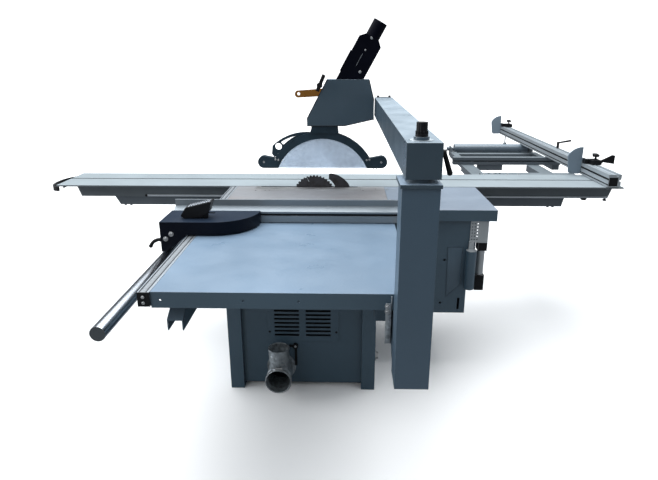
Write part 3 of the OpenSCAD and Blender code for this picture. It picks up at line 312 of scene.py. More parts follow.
MATERIALS = {
    "cabinet_paint": lambda: paint("cabinet_paint", SHADED_SLATE, (0.10, 0.14, 0.18)),
    "table_paint": lambda: paint("table_paint", SHADED_SLATE, (0.158, 0.230, 0.317), 0.34),
    "guard_paint": lambda: paint("guard_paint", SHADED_GUARD, (0.24, 0.32, 0.41)),
    "arm_paint": lambda: paint("arm_paint", SHADED_GUARD, (0.28, 0.35, 0.41), 0.34),
    "ground_iron": ground_iron,
    "extrusion": lambda: brushed("extrusion", (0.46, 0.50, 0.54), 0.36, 0.72, (1, 50, 50), 0.06,
                                 top=(0.58, 0.66, 0.72)),
    "machined_steel": lambda: brushed("machined_steel", (0.42, 0.43, 0.44), 0.34, 0.85, (1, 30, 30), 0.1),
    "guide_bar_steel": guide_bar_steel,
    "blade_steel": blade_steel,
    "fence_casting": lambda: paint("fence_casting", (0.0006, 0.002, 0.007), (0.013, 0.022, 0.039), 0.34,
                                   (0.05, 0.06, 0.08), 0.12),
    "black_plastic": lambda: plastic("black_plastic", (0.004, 0.0045, 0.006)),
    "hood_plastic": lambda: plastic("hood_plastic", (0.016, 0.032, 0.046), 0.42, 700, (0.10, 0.14, 0.17)),
    "duct_black": lambda: plastic("duct_black", (0.001, 0.0015, 0.005), 0.5, 600,
                                  (0.01, 0.015, 0.03), 0.25, 0.06),
    "clear_shield": clear_shield,
    "orange_plastic": lambda: plastic("orange_plastic", (0.20, 0.085, 0.012), 0.4, 700, (0.45, 0.25, 0.08)),
    "galvanised": galvanised,
    "bed_paint": lambda: brushed("bed_paint", (0.105, 0.125, 0.145), 0.45, 0.45, (1, 40, 40), 0.08,
                                 (0.3, 0.33, 0.36)),
    "motor_paint": lambda: paint("motor_paint", (0.06, 0.08, 0.10), (0.12, 0.15, 0.18)),
    "belt_rubber": belt_rubber,
    "roller_coat": lambda: paint("roller_coat", (0.075, 0.10, 0.125), (0.15, 0.195, 0.235), 0.3),
}
material = {slot: build() for slot, build in MATERIALS.items()}


# Nodes whose finish differs from the rest of their slot. A lighter top colour is painted light on faces
# that look up.
VARIANTS = {
    "sliding_table": lambda: brushed("slide_deck", (0.115, 0.135, 0.15), 0.45, 0.3, (1, 50, 50), 0.06,
                                     top=(0.285, 0.335, 0.365)),
    "fence_profile": lambda: brushed("fence_face", (0.20, 0.235, 0.265), 0.42, 0.4, (1, 50, 50), 0.06,
                                     top=(0.20, 0.235, 0.265)),
    "outrigger_frame": lambda: brushed("outrigger_metal", (0.10, 0.12, 0.14), 0.42, 0.4, (1, 50, 50), 0.06,
                                       top=(0.18, 0.215, 0.24)),
    "crosscut_fence": lambda: brushed("crosscut_metal", (0.36, 0.40, 0.43), 0.4, 0.5, (50, 1, 50), 0.06,
                                      top=(0.36, 0.41, 0.45)),
    "flip_stop_near": lambda: paint("near_stop_paint", (0.16, 0.21, 0.26), (0.3, 0.36, 0.4)),
    "flip_stop_far": lambda: paint("far_stop_paint", (0.16, 0.21, 0.26), (0.3, 0.36, 0.4)),
    "lift_actuator": lambda: brushed("bracket_zinc", (0.42, 0.45, 0.47), 0.4, 0.5, (40, 40, 1), 0.1),
    "guard_post": lambda: paint("post_paint", (0.058, 0.098, 0.140), (0.24, 0.32, 0.41)),
    "rear_table": lambda: paint("rear_table_paint", SHADED_SLATE, (0.20, 0.245, 0.305), 0.34),
    "guide_rail": lambda: brushed("rail_metal", (0.16, 0.20, 0.24), 0.36, 0.7, (50, 1, 50), 0.06,
                                  top=(0.42, 0.47, 0.52)),
}


def dress_nodes():
    """Gives each CAD node the material of its slot, or its own variant of it."""
    for row in frame["record"]["subparts"]:
        mesh = nodes[row["node"]].data
        mesh.materials.clear()
        variant = VARIANTS.get(row["node"])
        mesh.materials.append(variant() if variant else material[row["material_slot"]])


# ---------- mesh helpers ----------

def turned(axis):
    """Rotation that takes +Z to the axis."""
    return axis.normalized().to_track_quat("Z", "Y").to_matrix().to_4x4()


def at(place, axis=Z):
    return Matrix.Translation(place) @ turned(axis)


def lathe(bm, profile, where, steps=32):
    """Revolves (radius, height) points about the local Z axis; a radius of 0 closes the end."""
    rings = []
    turns = [i * math.tau / steps for i in range(steps)]
    for r, h in profile:
        points = [(r * math.cos(t), r * math.sin(t), h) for t in turns] if r else [(0, 0, h)]
        rings.append([bm.verts.new(where @ Vector(p)) for p in points])
    for a, b in zip(rings, rings[1:]):
        for i in range(steps):
            j = (i + 1) % steps
            loop = [a[i % len(a)], a[j % len(a)], b[j % len(b)], b[i % len(b)]]
            corners = list(dict.fromkeys(loop))
            if len(corners) > 2:
                bm.faces.new(corners)


def dome(r, h, n=5):
    """Profile of a rounded cap from its rim to its crown."""
    return [(r * math.cos(a), h * math.sin(a)) for a in (i * math.pi / 2 / n for i in range(n))] + [(0, h)]


def block(bm, lo, hi, bevel=0.0006, where=Matrix()):
    """Box with rounded edges."""
    made = bmesh.ops.create_cube(bm, size=1.0)["verts"]
    lo, hi = Vector(lo), Vector(hi)
    for v in made:
        v.co = where @ Vector(a + (c + 0.5) * (b - a) for a, b, c in zip(lo, hi, v.co))
    edges = list({e for v in made for e in v.link_edges})
    if bevel:
        bmesh.ops.bevel(bm, geom=edges, offset=bevel, segments=2, affect="EDGES", profile=0.5)


def tube(bm, path, r, steps=12, closed=False):
    """Round bar along a path of points."""
    rings, count = [], len(path)
    angles = [k * math.tau / steps for k in range(steps)]
    rim = [Vector((r * math.cos(a), r * math.sin(a), 0)) for a in angles]
    for i, p in enumerate(path):
        ahead = path[(i + 1) % count] if closed or i < count - 1 else p
        behind = path[i - 1] if closed or i > 0 else p
        turn = turned(ahead - behind)
        rings.append([bm.verts.new(p + turn @ v) for v in rim])
    pairs = list(zip(rings, rings[1:])) + ([(rings[-1], rings[0])] if closed else [])
    for a, b in pairs:
        for k in range(steps):
            bm.faces.new([a[k], a[(k + 1) % steps], b[(k + 1) % steps], b[k]])
    if not closed:
        bm.faces.new(rings[0][::-1])
        bm.faces.new(rings[-1])


def prism(bm, outline, y0, y1, bevel):
    """Plate with its outline in (x, z), from y0 to y1, with bevelled rims."""
    near = [bm.verts.new((x, y0, z)) for x, z in outline]
    far = [bm.verts.new((x, y1, z)) for x, z in outline]
    faces = [bm.faces.new(near), bm.faces.new(far[::-1])]
    for i in range(len(outline)):
        j = (i + 1) % len(outline)
        faces.append(bm.faces.new([near[i], far[i], far[j], near[j]]))
    rims = list({e for f in faces[:2] for e in f.edges})
    bmesh.ops.bevel(bm, geom=rims, offset=bevel, segments=2, affect="EDGES", profile=0.5)


def cap_screw(bm, place, axis, r):
    """Button head with a socket, on a thin washer."""
    h = r * 0.62
    socket = [(r * 0.34, h * 0.4), (0, h * 0.4)]
    head = [(r * 0.95, r * 0.12), (r * 0.9, h * 0.5), (r * 0.66, h * 0.9), (r * 0.42, h)]
    washer = [(0, 0), (r * 1.25, 0), (r * 1.25, r * 0.12)]
    lathe(bm, washer + head + [(r * 0.34, h)] + socket, at(place, axis), 24)


def hex_bolt(bm, place, axis, r):
    """Hexagon head with a chamfer, on a washer."""
    where = at(place, axis)
    lathe(bm, [(0, 0), (r * 1.5, 0), (r * 1.5, r * 0.2), (0, r * 0.2)], where, 24)
    lathe(bm, [(0, r * 0.2), (r, r * 0.2), (r, r * 0.75), (r * 0.86, r * 0.9), (0, r * 0.9)], where, 6)


def piece(name, bm, body, slot, mat=None, smooth=30):
    """Makes a mesh piece that rides on a CAD body."""
    bmesh.ops.recalc_face_normals(bm, faces=bm.faces[:])
    mesh = bpy.data.meshes.new(name)
    bm.to_mesh(mesh)
    bm.free()
    obj = bpy.data.objects.new(name, mesh)
    bpy.context.scene.collection.objects.link(obj)
    mesh.materials.append(mat or material[slot])
    mesh.shade_smooth()
    mesh.set_sharp_from_angle(angle=math.radians(smooth))
    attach(obj, body)
    return obj


# ---------- shapes that repeat in the fittings ----------

def slab(name, lo, hi, body, slot="black_plastic", bevel=0.001, mat=None):
    """Piece made of one block."""
    bm = bmesh.new()
    block(bm, lo, hi, bevel)
    return piece(name, bm, body, slot, mat)


def turning(name, profile, place, axis, body, slot="black_plastic", steps=28):
    """Piece made of one turned shape."""
    bm = bmesh.new()
    lathe(bm, profile, at(Vector(place), axis), steps)
    return piece(name, bm, body, slot)


def disc(r, h):
    """Profile of a plain disc."""
    return [(0, 0), (r, 0), (r, h), (0, h)]


def circle(centre, r, u, v, steps):
    """Points of a circle in the plane of u and v."""
    turns = [i * math.tau / steps for i in range(steps)]
    return [centre + r * (u * math.cos(t) + v * math.sin(t)) for t in turns]


def fasteners(name, make, spots, axis, r, body, slot="machined_steel"):
    """One piece that holds a set of identical fasteners."""
    bm = bmesh.new()
    for place in spots:
        make(bm, Vector(place), axis, r)
    return piece(name, bm, body, slot)


def ticks(name, body, start, step, count, reach):
    """Scale marks, one per step along Y; reach gives the signed length of mark i along X."""
    half, thick = 0.0004, 0.0002
    x, y0, z = start
    bm = bmesh.new()
    for i in range(count):
        y = y0 + i * step
        left, right = sorted((x, x + reach(i)))
        block(bm, (left, y - half, z), (right, y + half, z + thick), 0)
    piece(name, bm, body, "black_plastic")


# ---------- fittings: cabinet and tables ----------

def cabinet_fittings():
    """Cover screws, bolt on the outfeed side of the near leg, dark sheet behind the vents."""
    lo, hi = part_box("louvre_cover")
    inset, screw_r = 0.011, 0.0045
    rows = (lo.z + 0.05, hi.z - 0.03)
    spots = [(x, lo.y, z) for x in (lo.x + inset, hi.x - inset) for z in rows]
    fasteners("cover_screws", cap_screw, spots, -Y, screw_r, "base", "black_plastic")
    leg_lo, leg_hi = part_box("base_cabinet")
    bolt_inset, bolt_z, bolt_r = 0.03, 0.178, 0.018
    fasteners("leg_bolt", hex_bolt, [(leg_hi.x, leg_lo.y + bolt_inset, bolt_z)], X, bolt_r, "base")
    rim, near, far, top = 0.03, hi.y + 0.012, hi.y + 0.014, hi.z - 0.02
    slab("vent_dark_sheet", (lo.x + rim, near, lo.z + rim), (hi.x - rim, far, top), "base", bevel=0.0006)


def latch_fittings():
    """Key socket in the latch's round end."""
    lo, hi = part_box("panel_latch")
    r = 0.013
    key = [(0, 0), (r * 0.5, 0), (r * 0.5, 0.001), (r * 0.32, 0.0016), (0, 0.0016)]
    turning("latch_key", key, (hi.x - r, lo.y, hi.z - r), -Y, "panel_latch", "machined_steel", 24)


def dust_fittings():
    """Rolled beads, the clamp's screw and the dark inside of the dust tee."""
    lo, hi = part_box("dust_manifold")
    clamp_lo, clamp_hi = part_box("hose_clamp")
    band = 0.003
    port_x = (clamp_lo.x + clamp_hi.x) / 2
    port_r = (clamp_hi.x - clamp_lo.x) / 2 - band
    port_z = clamp_lo.z + port_r + band
    stub_r, stub_y = 0.048, -0.556
    sunk, steps = 0.0008, 48
    bm = bmesh.new()
    for y in (lo.y + 0.0025, clamp_hi.y + 0.012, clamp_hi.y + 0.022):
        path = circle(Vector((port_x, y, port_z)), port_r - sunk, X, Z, steps)
        tube(bm, path, 0.0022, 8, closed=True)
    for drop in (0.0025, 0.030, 0.038):
        path = circle(Vector((port_x, stub_y, hi.z - drop)), stub_r - sunk, X, Y, steps)
        tube(bm, path, 0.002, 8, closed=True)
    piece("port_beads", bm, "base", "galvanised")
    screw = (port_x + 0.015, clamp_lo.y + 0.006, clamp_hi.z - 0.005)
    fasteners("clamp_screw", hex_bolt, [screw], X, 0.006, "base")
    deep = (port_x, stub_y + 0.07, port_z)
    turning("port_shadow", disc(port_r - 0.0025, 0.001), deep, Y, "base", "duct_black", 40)


def table_fittings():
    """Screws of the blade insert and of the rear table's near edge, and black discs painted as the shade in
    the cast table's open holes.
    """
    lo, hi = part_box("table_insert")
    sunk, inset = 0.0035, 0.009
    socket = [(0, 0), (0.0036, 0), (0.0036, 0.0015), (0.0018, 0.0015), (0.0018, 0.0006), (0, 0.0006)]
    bm = bmesh.new()
    for x in (lo.x + inset, -0.180, 0.060, hi.x - inset):
        lathe(bm, socket, at(Vector((x, lo.y + 0.010, hi.z - sunk))), 20)
    piece("insert_screws", bm, "base", "machined_steel")
    rear_lo, rear_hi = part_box("rear_table")
    flat = [(0, 0), (0.006, 0), (0.0055, 0.0008), (0.003, 0.0008), (0.003, 0.0002), (0, 0.0002)]
    bm = bmesh.new()
    for y in (rear_lo.y + 0.06, rear_lo.y + 0.2, rear_hi.y - 0.06):
        lathe(bm, flat, at(Vector((rear_lo.x + 0.012, y, hi.z))), 20)
    piece("rear_table_screws", bm, "base", "machined_steel")
    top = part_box("main_table")[1].z
    # Painted shade: thin black discs on the table top where open holes are.
    tapped_r, small_r, film = 0.0045, 0.0035, 0.0002
    tapped = ((-0.293, 0.107), (-0.239, 0.109), (-0.216, 0.109), (0.304, 0.112))
    holes = [(x, y, tapped_r) for x, y in tapped]
    bm = bmesh.new()
    for x, y, r in holes + [(0.374, 0.152, small_r)]:
        lathe(bm, disc(r, film), at(Vector((x, y, top))), 20)
    piece("table_hole_shade", bm, "base", "black_plastic")


def rail_fittings():
    """Measuring strip in the rail's recess with its marks, and black strips painted as the shadow lines in
    the rail's grooves.
    """
    lo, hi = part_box("guide_rail")
    x0, x1 = lo.x + 0.0085, hi.x - 0.0125
    y0, y1 = lo.y + 0.001, hi.y - 0.001
    low, top = hi.z - 0.0015, hi.z - 0.0009
    strip = brushed("rail_strip", (0.30, 0.33, 0.36), 0.4, 0.4, (40, 1, 40), 0.04)
    slab("rail_strip", (x0, y0, low), (x1, y1, top), "base", "extrusion", 0, strip)
    step = 0.005

    def reach(i):
        return -(0.0165 if i % 20 == 0 else 0.0125 if i % 4 == 0 else 0.008 if i % 2 == 0 else 0.0035)

    ticks("rail_ticks", "base", (x1, y1 - 0.002, top), -step, int((y1 - y0) / step), reach)
    # Painted shadow: thin black strips along the rail's top and in its side groove.
    film = (hi.z + 0.00005, hi.z + 0.0004)
    groove = (lo.x + 0.004, lo.x + 0.0095, hi.z - 0.0315, hi.z - 0.0205)
    edges = [(lo.x + 0.0045, lo.x + 0.0078, *film), (hi.x - 0.0118, hi.x - 0.0085, *film)]
    bm = bmesh.new()
    for left, right, foot, head in [groove] + edges:
        block(bm, (left, y0, foot), (right, y1, head), 0)
    piece("rail_groove_shadow", bm, "base", "black_plastic")
    cap_lo, cap_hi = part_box("rail_end_cap")
    spots = [((cap_lo.x + cap_hi.x) / 2, cap_lo.y, cap_hi.z - drop) for drop in (0.014, 0.034)]
    fasteners("cap_screws", cap_screw, spots, -Y, 0.0045, "base")


def post_corner_fittings():
    """Bolted angle where the extension table meets the guard post."""
    lo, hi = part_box("extension_table")
    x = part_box("guard_post")[0].x
    front, foot, thick, flange = lo.y - 0.006, 0.700, 0.004, 0.020
    bm = bmesh.new()
    block(bm, (x - thick, front, foot), (x, lo.y + 0.05, hi.z - 0.006), 0.001)
    block(bm, (x - flange, front, foot), (x, front + thick, lo.z + 0.026), 0.001)
    piece("post_corner_plate", bm, "base", "galvanised")
    spots = [(x - 0.014, front, lo.z + rise) for rise in (-0.002, 0.016)]
    fasteners("post_corner_bolts", hex_bolt, spots, -Y, 0.006, "base")


# ---------- fittings: rip fence ----------

def fence_fittings():
    """Screws of the fence head, the viewer's ribbed window and its pointer, and a black strip painted as
    the shadow in the T-slot.
    """
    lo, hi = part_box("fence_head")
    spots = [(lo.x + 0.046, lo.y, hi.z - 0.051), (lo.x + 0.022, lo.y, hi.z - 0.072)]
    fasteners("head_screws", cap_screw, spots, -Y, 0.0085, "rip_fence")
    slope = math.radians(14.04)
    where = Matrix.Translation((-0.462, -0.668, hi.z + 0.046)) @ Matrix.Rotation(-slope, 4, "Y")
    ribs, pitch, rib_w, start = 9, 0.0112, 0.0056, 0.010
    bm = bmesh.new()
    for i in range(ribs):
        x = start + i * pitch
        block(bm, (x, 0.010, -0.001), (x + rib_w, 0.052, 0.0025), 0.001, where)
    window = brushed("viewer_window", (0.62, 0.68, 0.76), 0.22, 0.6, (1, 20, 1), 0.12)
    piece("viewer_window", bm, "rip_fence", "extrusion", window)
    bm = bmesh.new()
    block(bm, (-0.372, -0.660, hi.z + 0.0225), (-0.338, -0.656, hi.z + 0.0265), 0.001)
    block(bm, (-0.392, -0.664, hi.z + 0.002), (-0.368, -0.652, hi.z + 0.0275), 0.0015)
    piece("viewer_pointer", bm, "rip_fence", "black_plastic")
    lo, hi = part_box("fence_profile")
    # Painted shadow: a black strip inside the profile's T-slot.
    ends, near, far = 0.001, lo.y + 0.006, lo.y + 0.0088
    low, high = lo.z + 0.0305, lo.z + 0.0405
    slab("profile_slot_shadow", (lo.x + ends, near, low), (hi.x - ends, far, high), "rip_profile", bevel=0)


# ---------- fittings: guard ----------

def housing_fittings():
    """Edge trim of the housing, and the white spacers where it is bolted to the arm."""
    lo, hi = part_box("guard_housing")
    inset, trim_r = 0.0012, 0.0022
    outline = [(106, 1460), (-3, 1258), (-4, 1218), (199, 1218), (356, 1253), (354, 1358), (328, 1459)]
    bm = bmesh.new()
    for y in (lo.y + inset, hi.y - inset):
        tube(bm, [Vector((x * MM, y, z * MM)) for x, z in outline], trim_r, 8)
    piece("housing_trim", bm, "guard_arm", "black_plastic")
    bm = bmesh.new()
    for z in (1.250, 1.355):
        lathe(bm, disc(0.005, 0.0035), at(Vector((0.3535, lo.y + 0.02, z)), X), 20)
    piece("housing_spacers", bm, "guard_arm", "extrusion")


def duct_fittings():
    """Screws, slot and folded seam of the leaning duct."""
    lo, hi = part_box("guard_housing")
    front = (lo.y + hi.y) / 2 - 0.035
    fasteners("duct_screws", cap_screw, [(x, front, z) for x, z in ((0.337, 1.666), (0.279, 1.498))],
              -Y, 0.0062, "guard_arm")
    fasteners("duct_pin", cap_screw, [(0.305, front, 1.607)], -Y, 0.004, "guard_arm")
    lean = math.radians(29)
    up = Vector((math.sin(lean), 0, math.cos(lean)))
    side = Vector((math.cos(lean), 0, -math.sin(lean)))
    start, length = Vector((0.259, front - 0.0004, 1.530)), 0.068
    bm = bmesh.new()
    tube(bm, [start, start + up * length], 0.0012, 8)
    piece("duct_slot", bm, "guard_arm", "galvanised")
    foot = Vector((0.226, front, 1.461)) - 0.064 * side + 0.012 * up
    depth, height = 0.067, 0.118
    bm = bmesh.new()
    for y in (0.0, depth):
        where = Matrix.Translation(foot + Y * y) @ Matrix.Rotation(lean, 4, "Y")
        block(bm, (-0.005, -0.0015, 0), (0.002, 0.0015, height), 0.0005, where)
    piece("duct_seam", bm, "guard_arm", "duct_black")


def hood_fittings():
    """Neck bolts and arch screws of the hood, and the pull ring under its outfeed end."""
    lo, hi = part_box("hood_frame")
    front, middle = lo.y + 0.010, (lo.x + hi.x) / 2
    neck = [(middle + dx, front, 1.196) for dx in (-0.040, 0.045)]
    fasteners("neck_bolts", cap_screw, neck, -Y, 0.0052, "guard_hood")
    dots = [(middle + s * dx, front, z) for s in (-1, 1) for dx, z in ((0.262, 1.030), (0.247, 1.027))]
    fasteners("arch_screws", cap_screw, dots, -Y, 0.0045, "guard_hood")
    ring = circle(Vector((0.373, (lo.y + hi.y) / 2, 0.974)), 0.008, X, Z, 28)
    bm = bmesh.new()
    tube(bm, ring, 0.0016, 8, closed=True)
    piece("pull_ring", bm, "guard_hood", "machined_steel")


def arm_fittings():
    """Low bar with two studs on the arm's far end, and the bright washer under its knob."""
    lo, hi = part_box("guard_arm")
    top, y = hi.z - 0.010, hi.y - 0.012
    stud = [(0, 0), (0.004, 0), (0.004, 0.004), (0.0075, 0.005)]
    stud += [(0.0075, 0.009), (0.004, 0.0105), (0, 0.0105)]
    bm = bmesh.new()
    for x in (lo.x + 0.018, hi.x - 0.014):
        lathe(bm, stud, at(Vector((x, y, top))), 20)
    block(bm, (lo.x + 0.010, y - 0.006, top), (hi.x - 0.006, y + 0.006, top + 0.003), 0.001)
    piece("arm_stop_bar", bm, "guard_arm", "black_plastic")
    bore, r, thick = 0.0155, 0.031, 0.0015
    washer = [(bore, 0), (r, 0), (r, thick), (bore, thick), (bore, 0)]
    pivot = (lo.x + 0.043, lo.y + 0.050, hi.z - 0.0098)
    turning("arm_washer", washer, pivot, Z, "guard_arm", "extrusion", 40)


# ---------- fittings: saw and rear housing ----------

def blade_fittings():
    """Carbide tip on each tooth."""
    lo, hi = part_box("saw_blade")
    centre, r = (lo + hi) / 2, (hi.x - lo.x) / 2
    teeth = 40
    half = (hi.y - lo.y) / 2 + 0.0002
    bm = bmesh.new()
    for i in range(teeth):
        where = Matrix.Translation(centre) @ Matrix.Rotation(-i * math.tau / teeth, 4, "Y")
        block(bm, (r - 0.0058, -half, 0.0002), (r - 0.0004, half, 0.0022), 0.0003, where)
    tips = brushed("carbide", (0.12, 0.12, 0.125), 0.25, 0.9, (1, 30, 30), 0.1)
    piece("carbide_tips", bm, "saw_arbor", "blade_steel", tips)


def rear_fittings():
    """Pressed pocket of the rear housing in a slightly lighter tone, painted light where light catches it;
    black ends of the slim actuator, sleeve of its guide tube.
    """
    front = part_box("rear_housing")[0].y
    outline = [(0.716, 0.672), (0.790, 0.676), (0.792, 0.478), (0.724, 0.410)]
    bm = bmesh.new()
    prism(bm, outline, front - 0.004, front - 0.0002, 0.0035)
    # Painted light: the pocket is a little lighter than the housing's side tone.
    piece("housing_pocket", bm, "base", "cabinet_paint", paint("pocket_painted_light", (0.066, 0.106, 0.145)))
    lo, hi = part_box("lift_actuator")
    plate_y, body_x, half = lo.y + 0.047, hi.x - 0.022, 0.0224
    head, motor = (0.0026, 0.0564, 0.657, 0.700), (0.0074, 0.0524, 0.4430, 0.5264)
    bm = bmesh.new()
    for near, far, low, high in (head, motor):
        block(bm, (body_x - half, plate_y + near, low), (body_x + half, plate_y + far, high), 0.002)
    piece("actuator_caps", bm, "base", "black_plastic")
    inner, outer, length = 0.024, 0.0256, 0.200
    sleeve = [(inner, 0), (outer, 0), (outer, length), (inner, length), (inner, 0)]
    turning("guide_tube_sleeve", sleeve, (0.829, lo.y + 0.025, 0.467), Z, "base", "cabinet_paint", 40)


# ---------- fittings: sliding side ----------

def slide_fittings():
    """The sliding table's bright lip with its stop, two buttons under it, end cap, and a black strip
    painted as the shadow in its groove.
    """
    lo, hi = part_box("sliding_table")
    web_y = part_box("slide_bed")[0].y - 0.028
    skin = 0.0002
    x0, x1 = lo.x + 0.488, hi.x - 0.032
    slab("table_lip", (x0, web_y - 0.0045, lo.z + 0.001), (x1, web_y - skin, lo.z + 0.012),
         "sliding_table", "extrusion")
    stop = [(0, 0), (0.007, 0), (0.007, 0.005), (0.005, 0.007), (0, 0.007)]
    turning("lip_stop", stop, (x0 - 0.008, web_y - skin, lo.z + 0.0065), -Y, "sliding_table", steps=24)
    button_y, below = lo.y + 0.117, lo.z + skin
    button = [(0.0001, 0), (0.017, 0), (0.017, 0.006), (0.012, 0.010), (0, 0.010)]
    turning("stop_button", button, (hi.x - 0.165, button_y, below), -Z, "sliding_table")
    buffer = [(0, 0), (0.006, 0), (0.006, 0.006)]
    buffer += [(0.011, 0.007), (0.011, 0.012), (0.008, 0.015), (0, 0.015)]
    turning("end_buffer", buffer, (hi.x - 0.042, button_y, below), -Z, "sliding_table")
    slab("slide_end_cap", (lo.x + 0.0005, lo.y + 0.070, hi.z - 0.034),
         (lo.x + 0.004, hi.y - 0.020, hi.z - 0.0085), "sliding_table")
    # Painted shadow: a black block inside the T-groove.
    groove_y, half = lo.y + 0.191, 0.0078
    slab("slide_groove_shadow", (lo.x + 0.006, groove_y - half, hi.z - 0.0138),
         (hi.x - 0.001, groove_y + half, hi.z - 0.0085), "sliding_table", bevel=0)


def outrigger_fittings():
    """Bolts of the outrigger's rail, and the cap on the roller's near end."""
    table_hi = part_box("sliding_table")[1]
    bolt_y, rail_top = table_hi.y + 0.030, table_hi.z - 0.006
    spots = [(x, bolt_y, rail_top) for x in (1.085, 1.140, 1.230, 1.300)]
    fasteners("outrigger_bolts", hex_bolt, spots, Z, 0.006, "sliding_table")
    lo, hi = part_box("outrigger_roller")
    cap = [(0.010, 0), (0.0165, 0), (0.0165, 0.003), (0.011, 0.006), (0, 0.006)]
    place = (lo.x + 0.006, (lo.y + hi.y) / 2, (lo.z + hi.z) / 2)
    turning("roller_knob_cap", cap, place, -X, "outrigger_roller")


def crosscut_fittings():
    """Dark plug of the crosscut fence, black strips painted as the shadow in its grooves, and the steel
    scale in its top recess.
    """
    lo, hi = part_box("crosscut_fence")
    top, foot = hi.z, hi.z - 0.072
    y0, y1 = lo.y + 0.001, hi.y - 0.001
    slab("fence_plug", (lo.x + 0.006, y0, top - 0.066), (hi.x - 0.018, lo.y + 0.004, top - 0.018),
         "crosscut_fence")
    # Painted shadow: black strips in the fence's two side grooves.
    bm = bmesh.new()
    for low, high in ((0.010, 0.016), (0.039, 0.049)):
        block(bm, (lo.x + 0.0016, y0, foot + low), (lo.x + 0.0029, y1, foot + high), 0)
    piece("crosscut_groove_shadow", bm, "crosscut_fence", "black_plastic")
    x0, x1 = lo.x + 0.0225, lo.x + 0.0395
    slab("crosscut_strip", (x0, y0, top - 0.0019), (x1, y1, top - 0.0013), "crosscut_fence", "extrusion", 0)
    step = 0.010

    def reach(i):
        return 0.012 if i % 10 == 0 else 0.008 if i % 5 == 0 else 0.005

    start = (x0, y0 + 0.002, top - 0.0013)
    ticks("crosscut_ticks", "crosscut_fence", start, step, int((y1 - y0) / step), reach)


def stop_fittings():
    """Rounded caps on the sliders' clamp knobs."""
    knob_x, knob_r = 1.738, 0.0195
    cap = [(0, -0.001), (knob_r, -0.001)] + dome(knob_r, 0.006)
    for name, body in (("stop_slider_near", "near_slider"), ("stop_slider_far", "far_slider")):
        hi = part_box(name)[1]
        turning(name + "_knob_cap", cap, (knob_x, hi.y - 0.058, hi.z), Z, body, steps=32)


def fit_out():
    """Makes every fitting."""
    cabinet_fittings()
    latch_fittings()
    dust_fittings()
    table_fittings()
    rail_fittings()
    post_corner_fittings()
    fence_fittings()
    housing_fittings()
    duct_fittings()
    hood_fittings()
    arm_fittings()
    blade_fittings()
    rear_fittings()
    slide_fittings()
    outrigger_fittings()
    crosscut_fittings()
    stop_fittings()


# ---------- stage ----------

CAM_PLACE = Vector((0.205, -2.855, 1.572))
CAM_PITCH, CAM_YAW, CAM_ROLL = 18.48, 1.74, -0.15
CAM_LENS, CAM_SENSOR = 29.94, 36.0

# The sky's light grows toward this direction; the spread maps its cosine (two numbers) to strength (two)
SKY_TOWARD = (-0.05, 0.55, 0.83)
SKY_SPREAD = (-0.45, 0.9, 0.16, 1.25)
SKY_TINT = (0.93, 0.97, 1.0, 1.0)

# Name, place, target, width and height, power in watts
SOFTBOXES = (
    ("overhead", (0.0, 0.9, 4.6), (0.1, 0.4, 0.8), (5.5, 4.5), 330),
    ("front", (-2.6, -4.6, 3.4), (0.0, 0.0, 0.8), (2.4, 2.0), 38),
    ("left", (-5.0, -0.5, 2.0), (0.0, 0.0, 0.8), (3.0, 2.0), 110),
)


def camera():
    """Camera solved from the vanishing directions; angles in degrees, pitch is the look down."""
    data = bpy.data.cameras.new("camera")
    data.sensor_width = CAM_SENSOR
    data.lens = CAM_LENS
    obj = bpy.data.objects.new("camera", data)
    bpy.context.scene.collection.objects.link(obj)
    turns = ((CAM_YAW, "Z"), (90 - CAM_PITCH, "X"), (CAM_ROLL, "Z"))
    obj.matrix_world = Matrix.Translation(CAM_PLACE)
    for angle, axis in turns:
        obj.matrix_world = obj.matrix_world @ Matrix.Rotation(math.radians(angle), 4, axis)
    bpy.context.scene.camera = obj


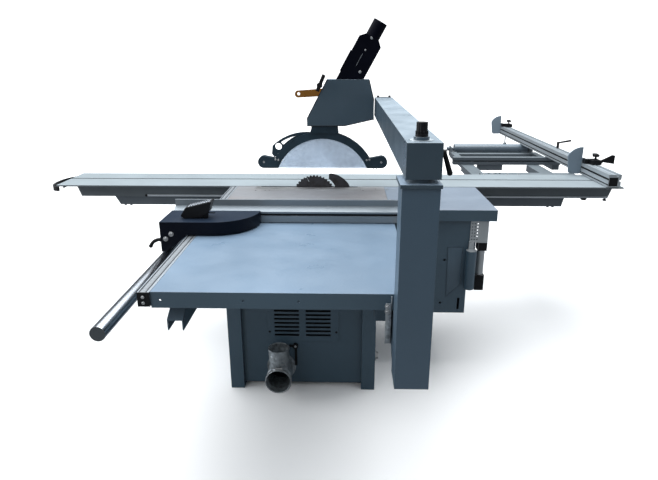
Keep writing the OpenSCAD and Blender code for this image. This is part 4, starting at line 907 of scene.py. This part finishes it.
def floor():
    """Floor that sweeps up into a far backdrop: pale to the camera, dimmer to the light it throws back."""
    bm = bmesh.new()
    reach, back, rise, bend, parts = 14.0, 11.0, 9.0, 3.0, 12
    angles = [i * math.pi / 2 / parts for i in range(parts + 1)]
    arc = [(back + bend * math.sin(a), bend - bend * math.cos(a)) for a in angles]
    run = [(-reach, 0.0)] + arc + [(back + bend, rise)]
    rows = [[bm.verts.new((x, y, z)) for y, z in run] for x in (-reach, reach)]
    for i in range(len(run) - 1):
        bm.faces.new([rows[0][i], rows[1][i], rows[1][i + 1], rows[0][i + 1]])
    mesh = bpy.data.meshes.new("floor")
    bm.to_mesh(mesh)
    bm.free()
    obj = bpy.data.objects.new("floor", mesh)
    bpy.context.scene.collection.objects.link(obj)
    mesh.shade_smooth()
    lit, shown = (0.22, 0.23, 0.24), (0.93, 0.94, 0.95)
    f = Finish("floor")
    seen = f.node("ShaderNodeLightPath").outputs["Is Camera Ray"]
    tone = f.span(f.noise(1.5, 4.0), 0.3, 0.7, 0.985, 1.0)
    split = f.node("ShaderNodeSeparateXYZ")
    f.link(f.place, split.inputs[0])
    far = f.span(split.outputs["Y"], 2.2, 6.0, 0.0, 1.0)
    glow = f.math("MULTIPLY", seen, far)
    f.set(Base_Color=f.shade(f.mix(seen, lit, shown), tone), Roughness=0.9)
    f.set(Emission_Color=f.shade((1.0, 1.0, 1.0), tone), Emission_Strength=glow)
    mesh.materials.append(f.mat)


def world():
    """Bright above and behind the machine, dim in front, as in a studio with an overhead soft light."""
    made = bpy.data.worlds.new("studio")
    bpy.context.scene.world = made
    made.use_nodes = True
    tree = made.node_tree
    tree.nodes.clear()
    out = tree.nodes.new("ShaderNodeOutputWorld")
    back = tree.nodes.new("ShaderNodeBackground")
    coords = tree.nodes.new("ShaderNodeTexCoord")
    dot = tree.nodes.new("ShaderNodeVectorMath")
    dot.operation = "DOT_PRODUCT"
    dot.inputs[1].default_value = SKY_TOWARD
    spread = tree.nodes.new("ShaderNodeMapRange")
    for socket, value in zip(list(spread.inputs)[1:5], SKY_SPREAD):
        socket.default_value = value
    tint = tree.nodes.new("ShaderNodeRGB")
    tint.outputs[0].default_value = SKY_TINT
    tree.links.new(coords.outputs["Generated"], dot.inputs[0])
    tree.links.new(dot.outputs["Value"], spread.inputs[0])
    tree.links.new(spread.outputs[0], back.inputs["Strength"])
    tree.links.new(tint.outputs[0], back.inputs["Color"])
    tree.links.new(back.outputs[0], out.inputs[0])


def softbox(name, place, target, size, power):
    """Rectangular light at a place, turned to its target."""
    data = bpy.data.lights.new(name, "AREA")
    data.shape = "RECTANGLE"
    data.size, data.size_y = size
    data.energy = power
    obj = bpy.data.objects.new(name, data)
    bpy.context.scene.collection.objects.link(obj)
    obj.location = place
    obj.rotation_euler = (Vector(target) - Vector(place)).to_track_quat("-Z", "Y").to_euler()


def lights():
    """One soft light overhead, a weak one in front and one at the operator's end."""
    for name, place, target, size, power in SOFTBOXES:
        softbox(name, place, target, size, power)


dress_nodes()
fit_out()
camera()
floor()
world()
lights()
bpy.context.scene.view_settings.view_transform = "Standard"
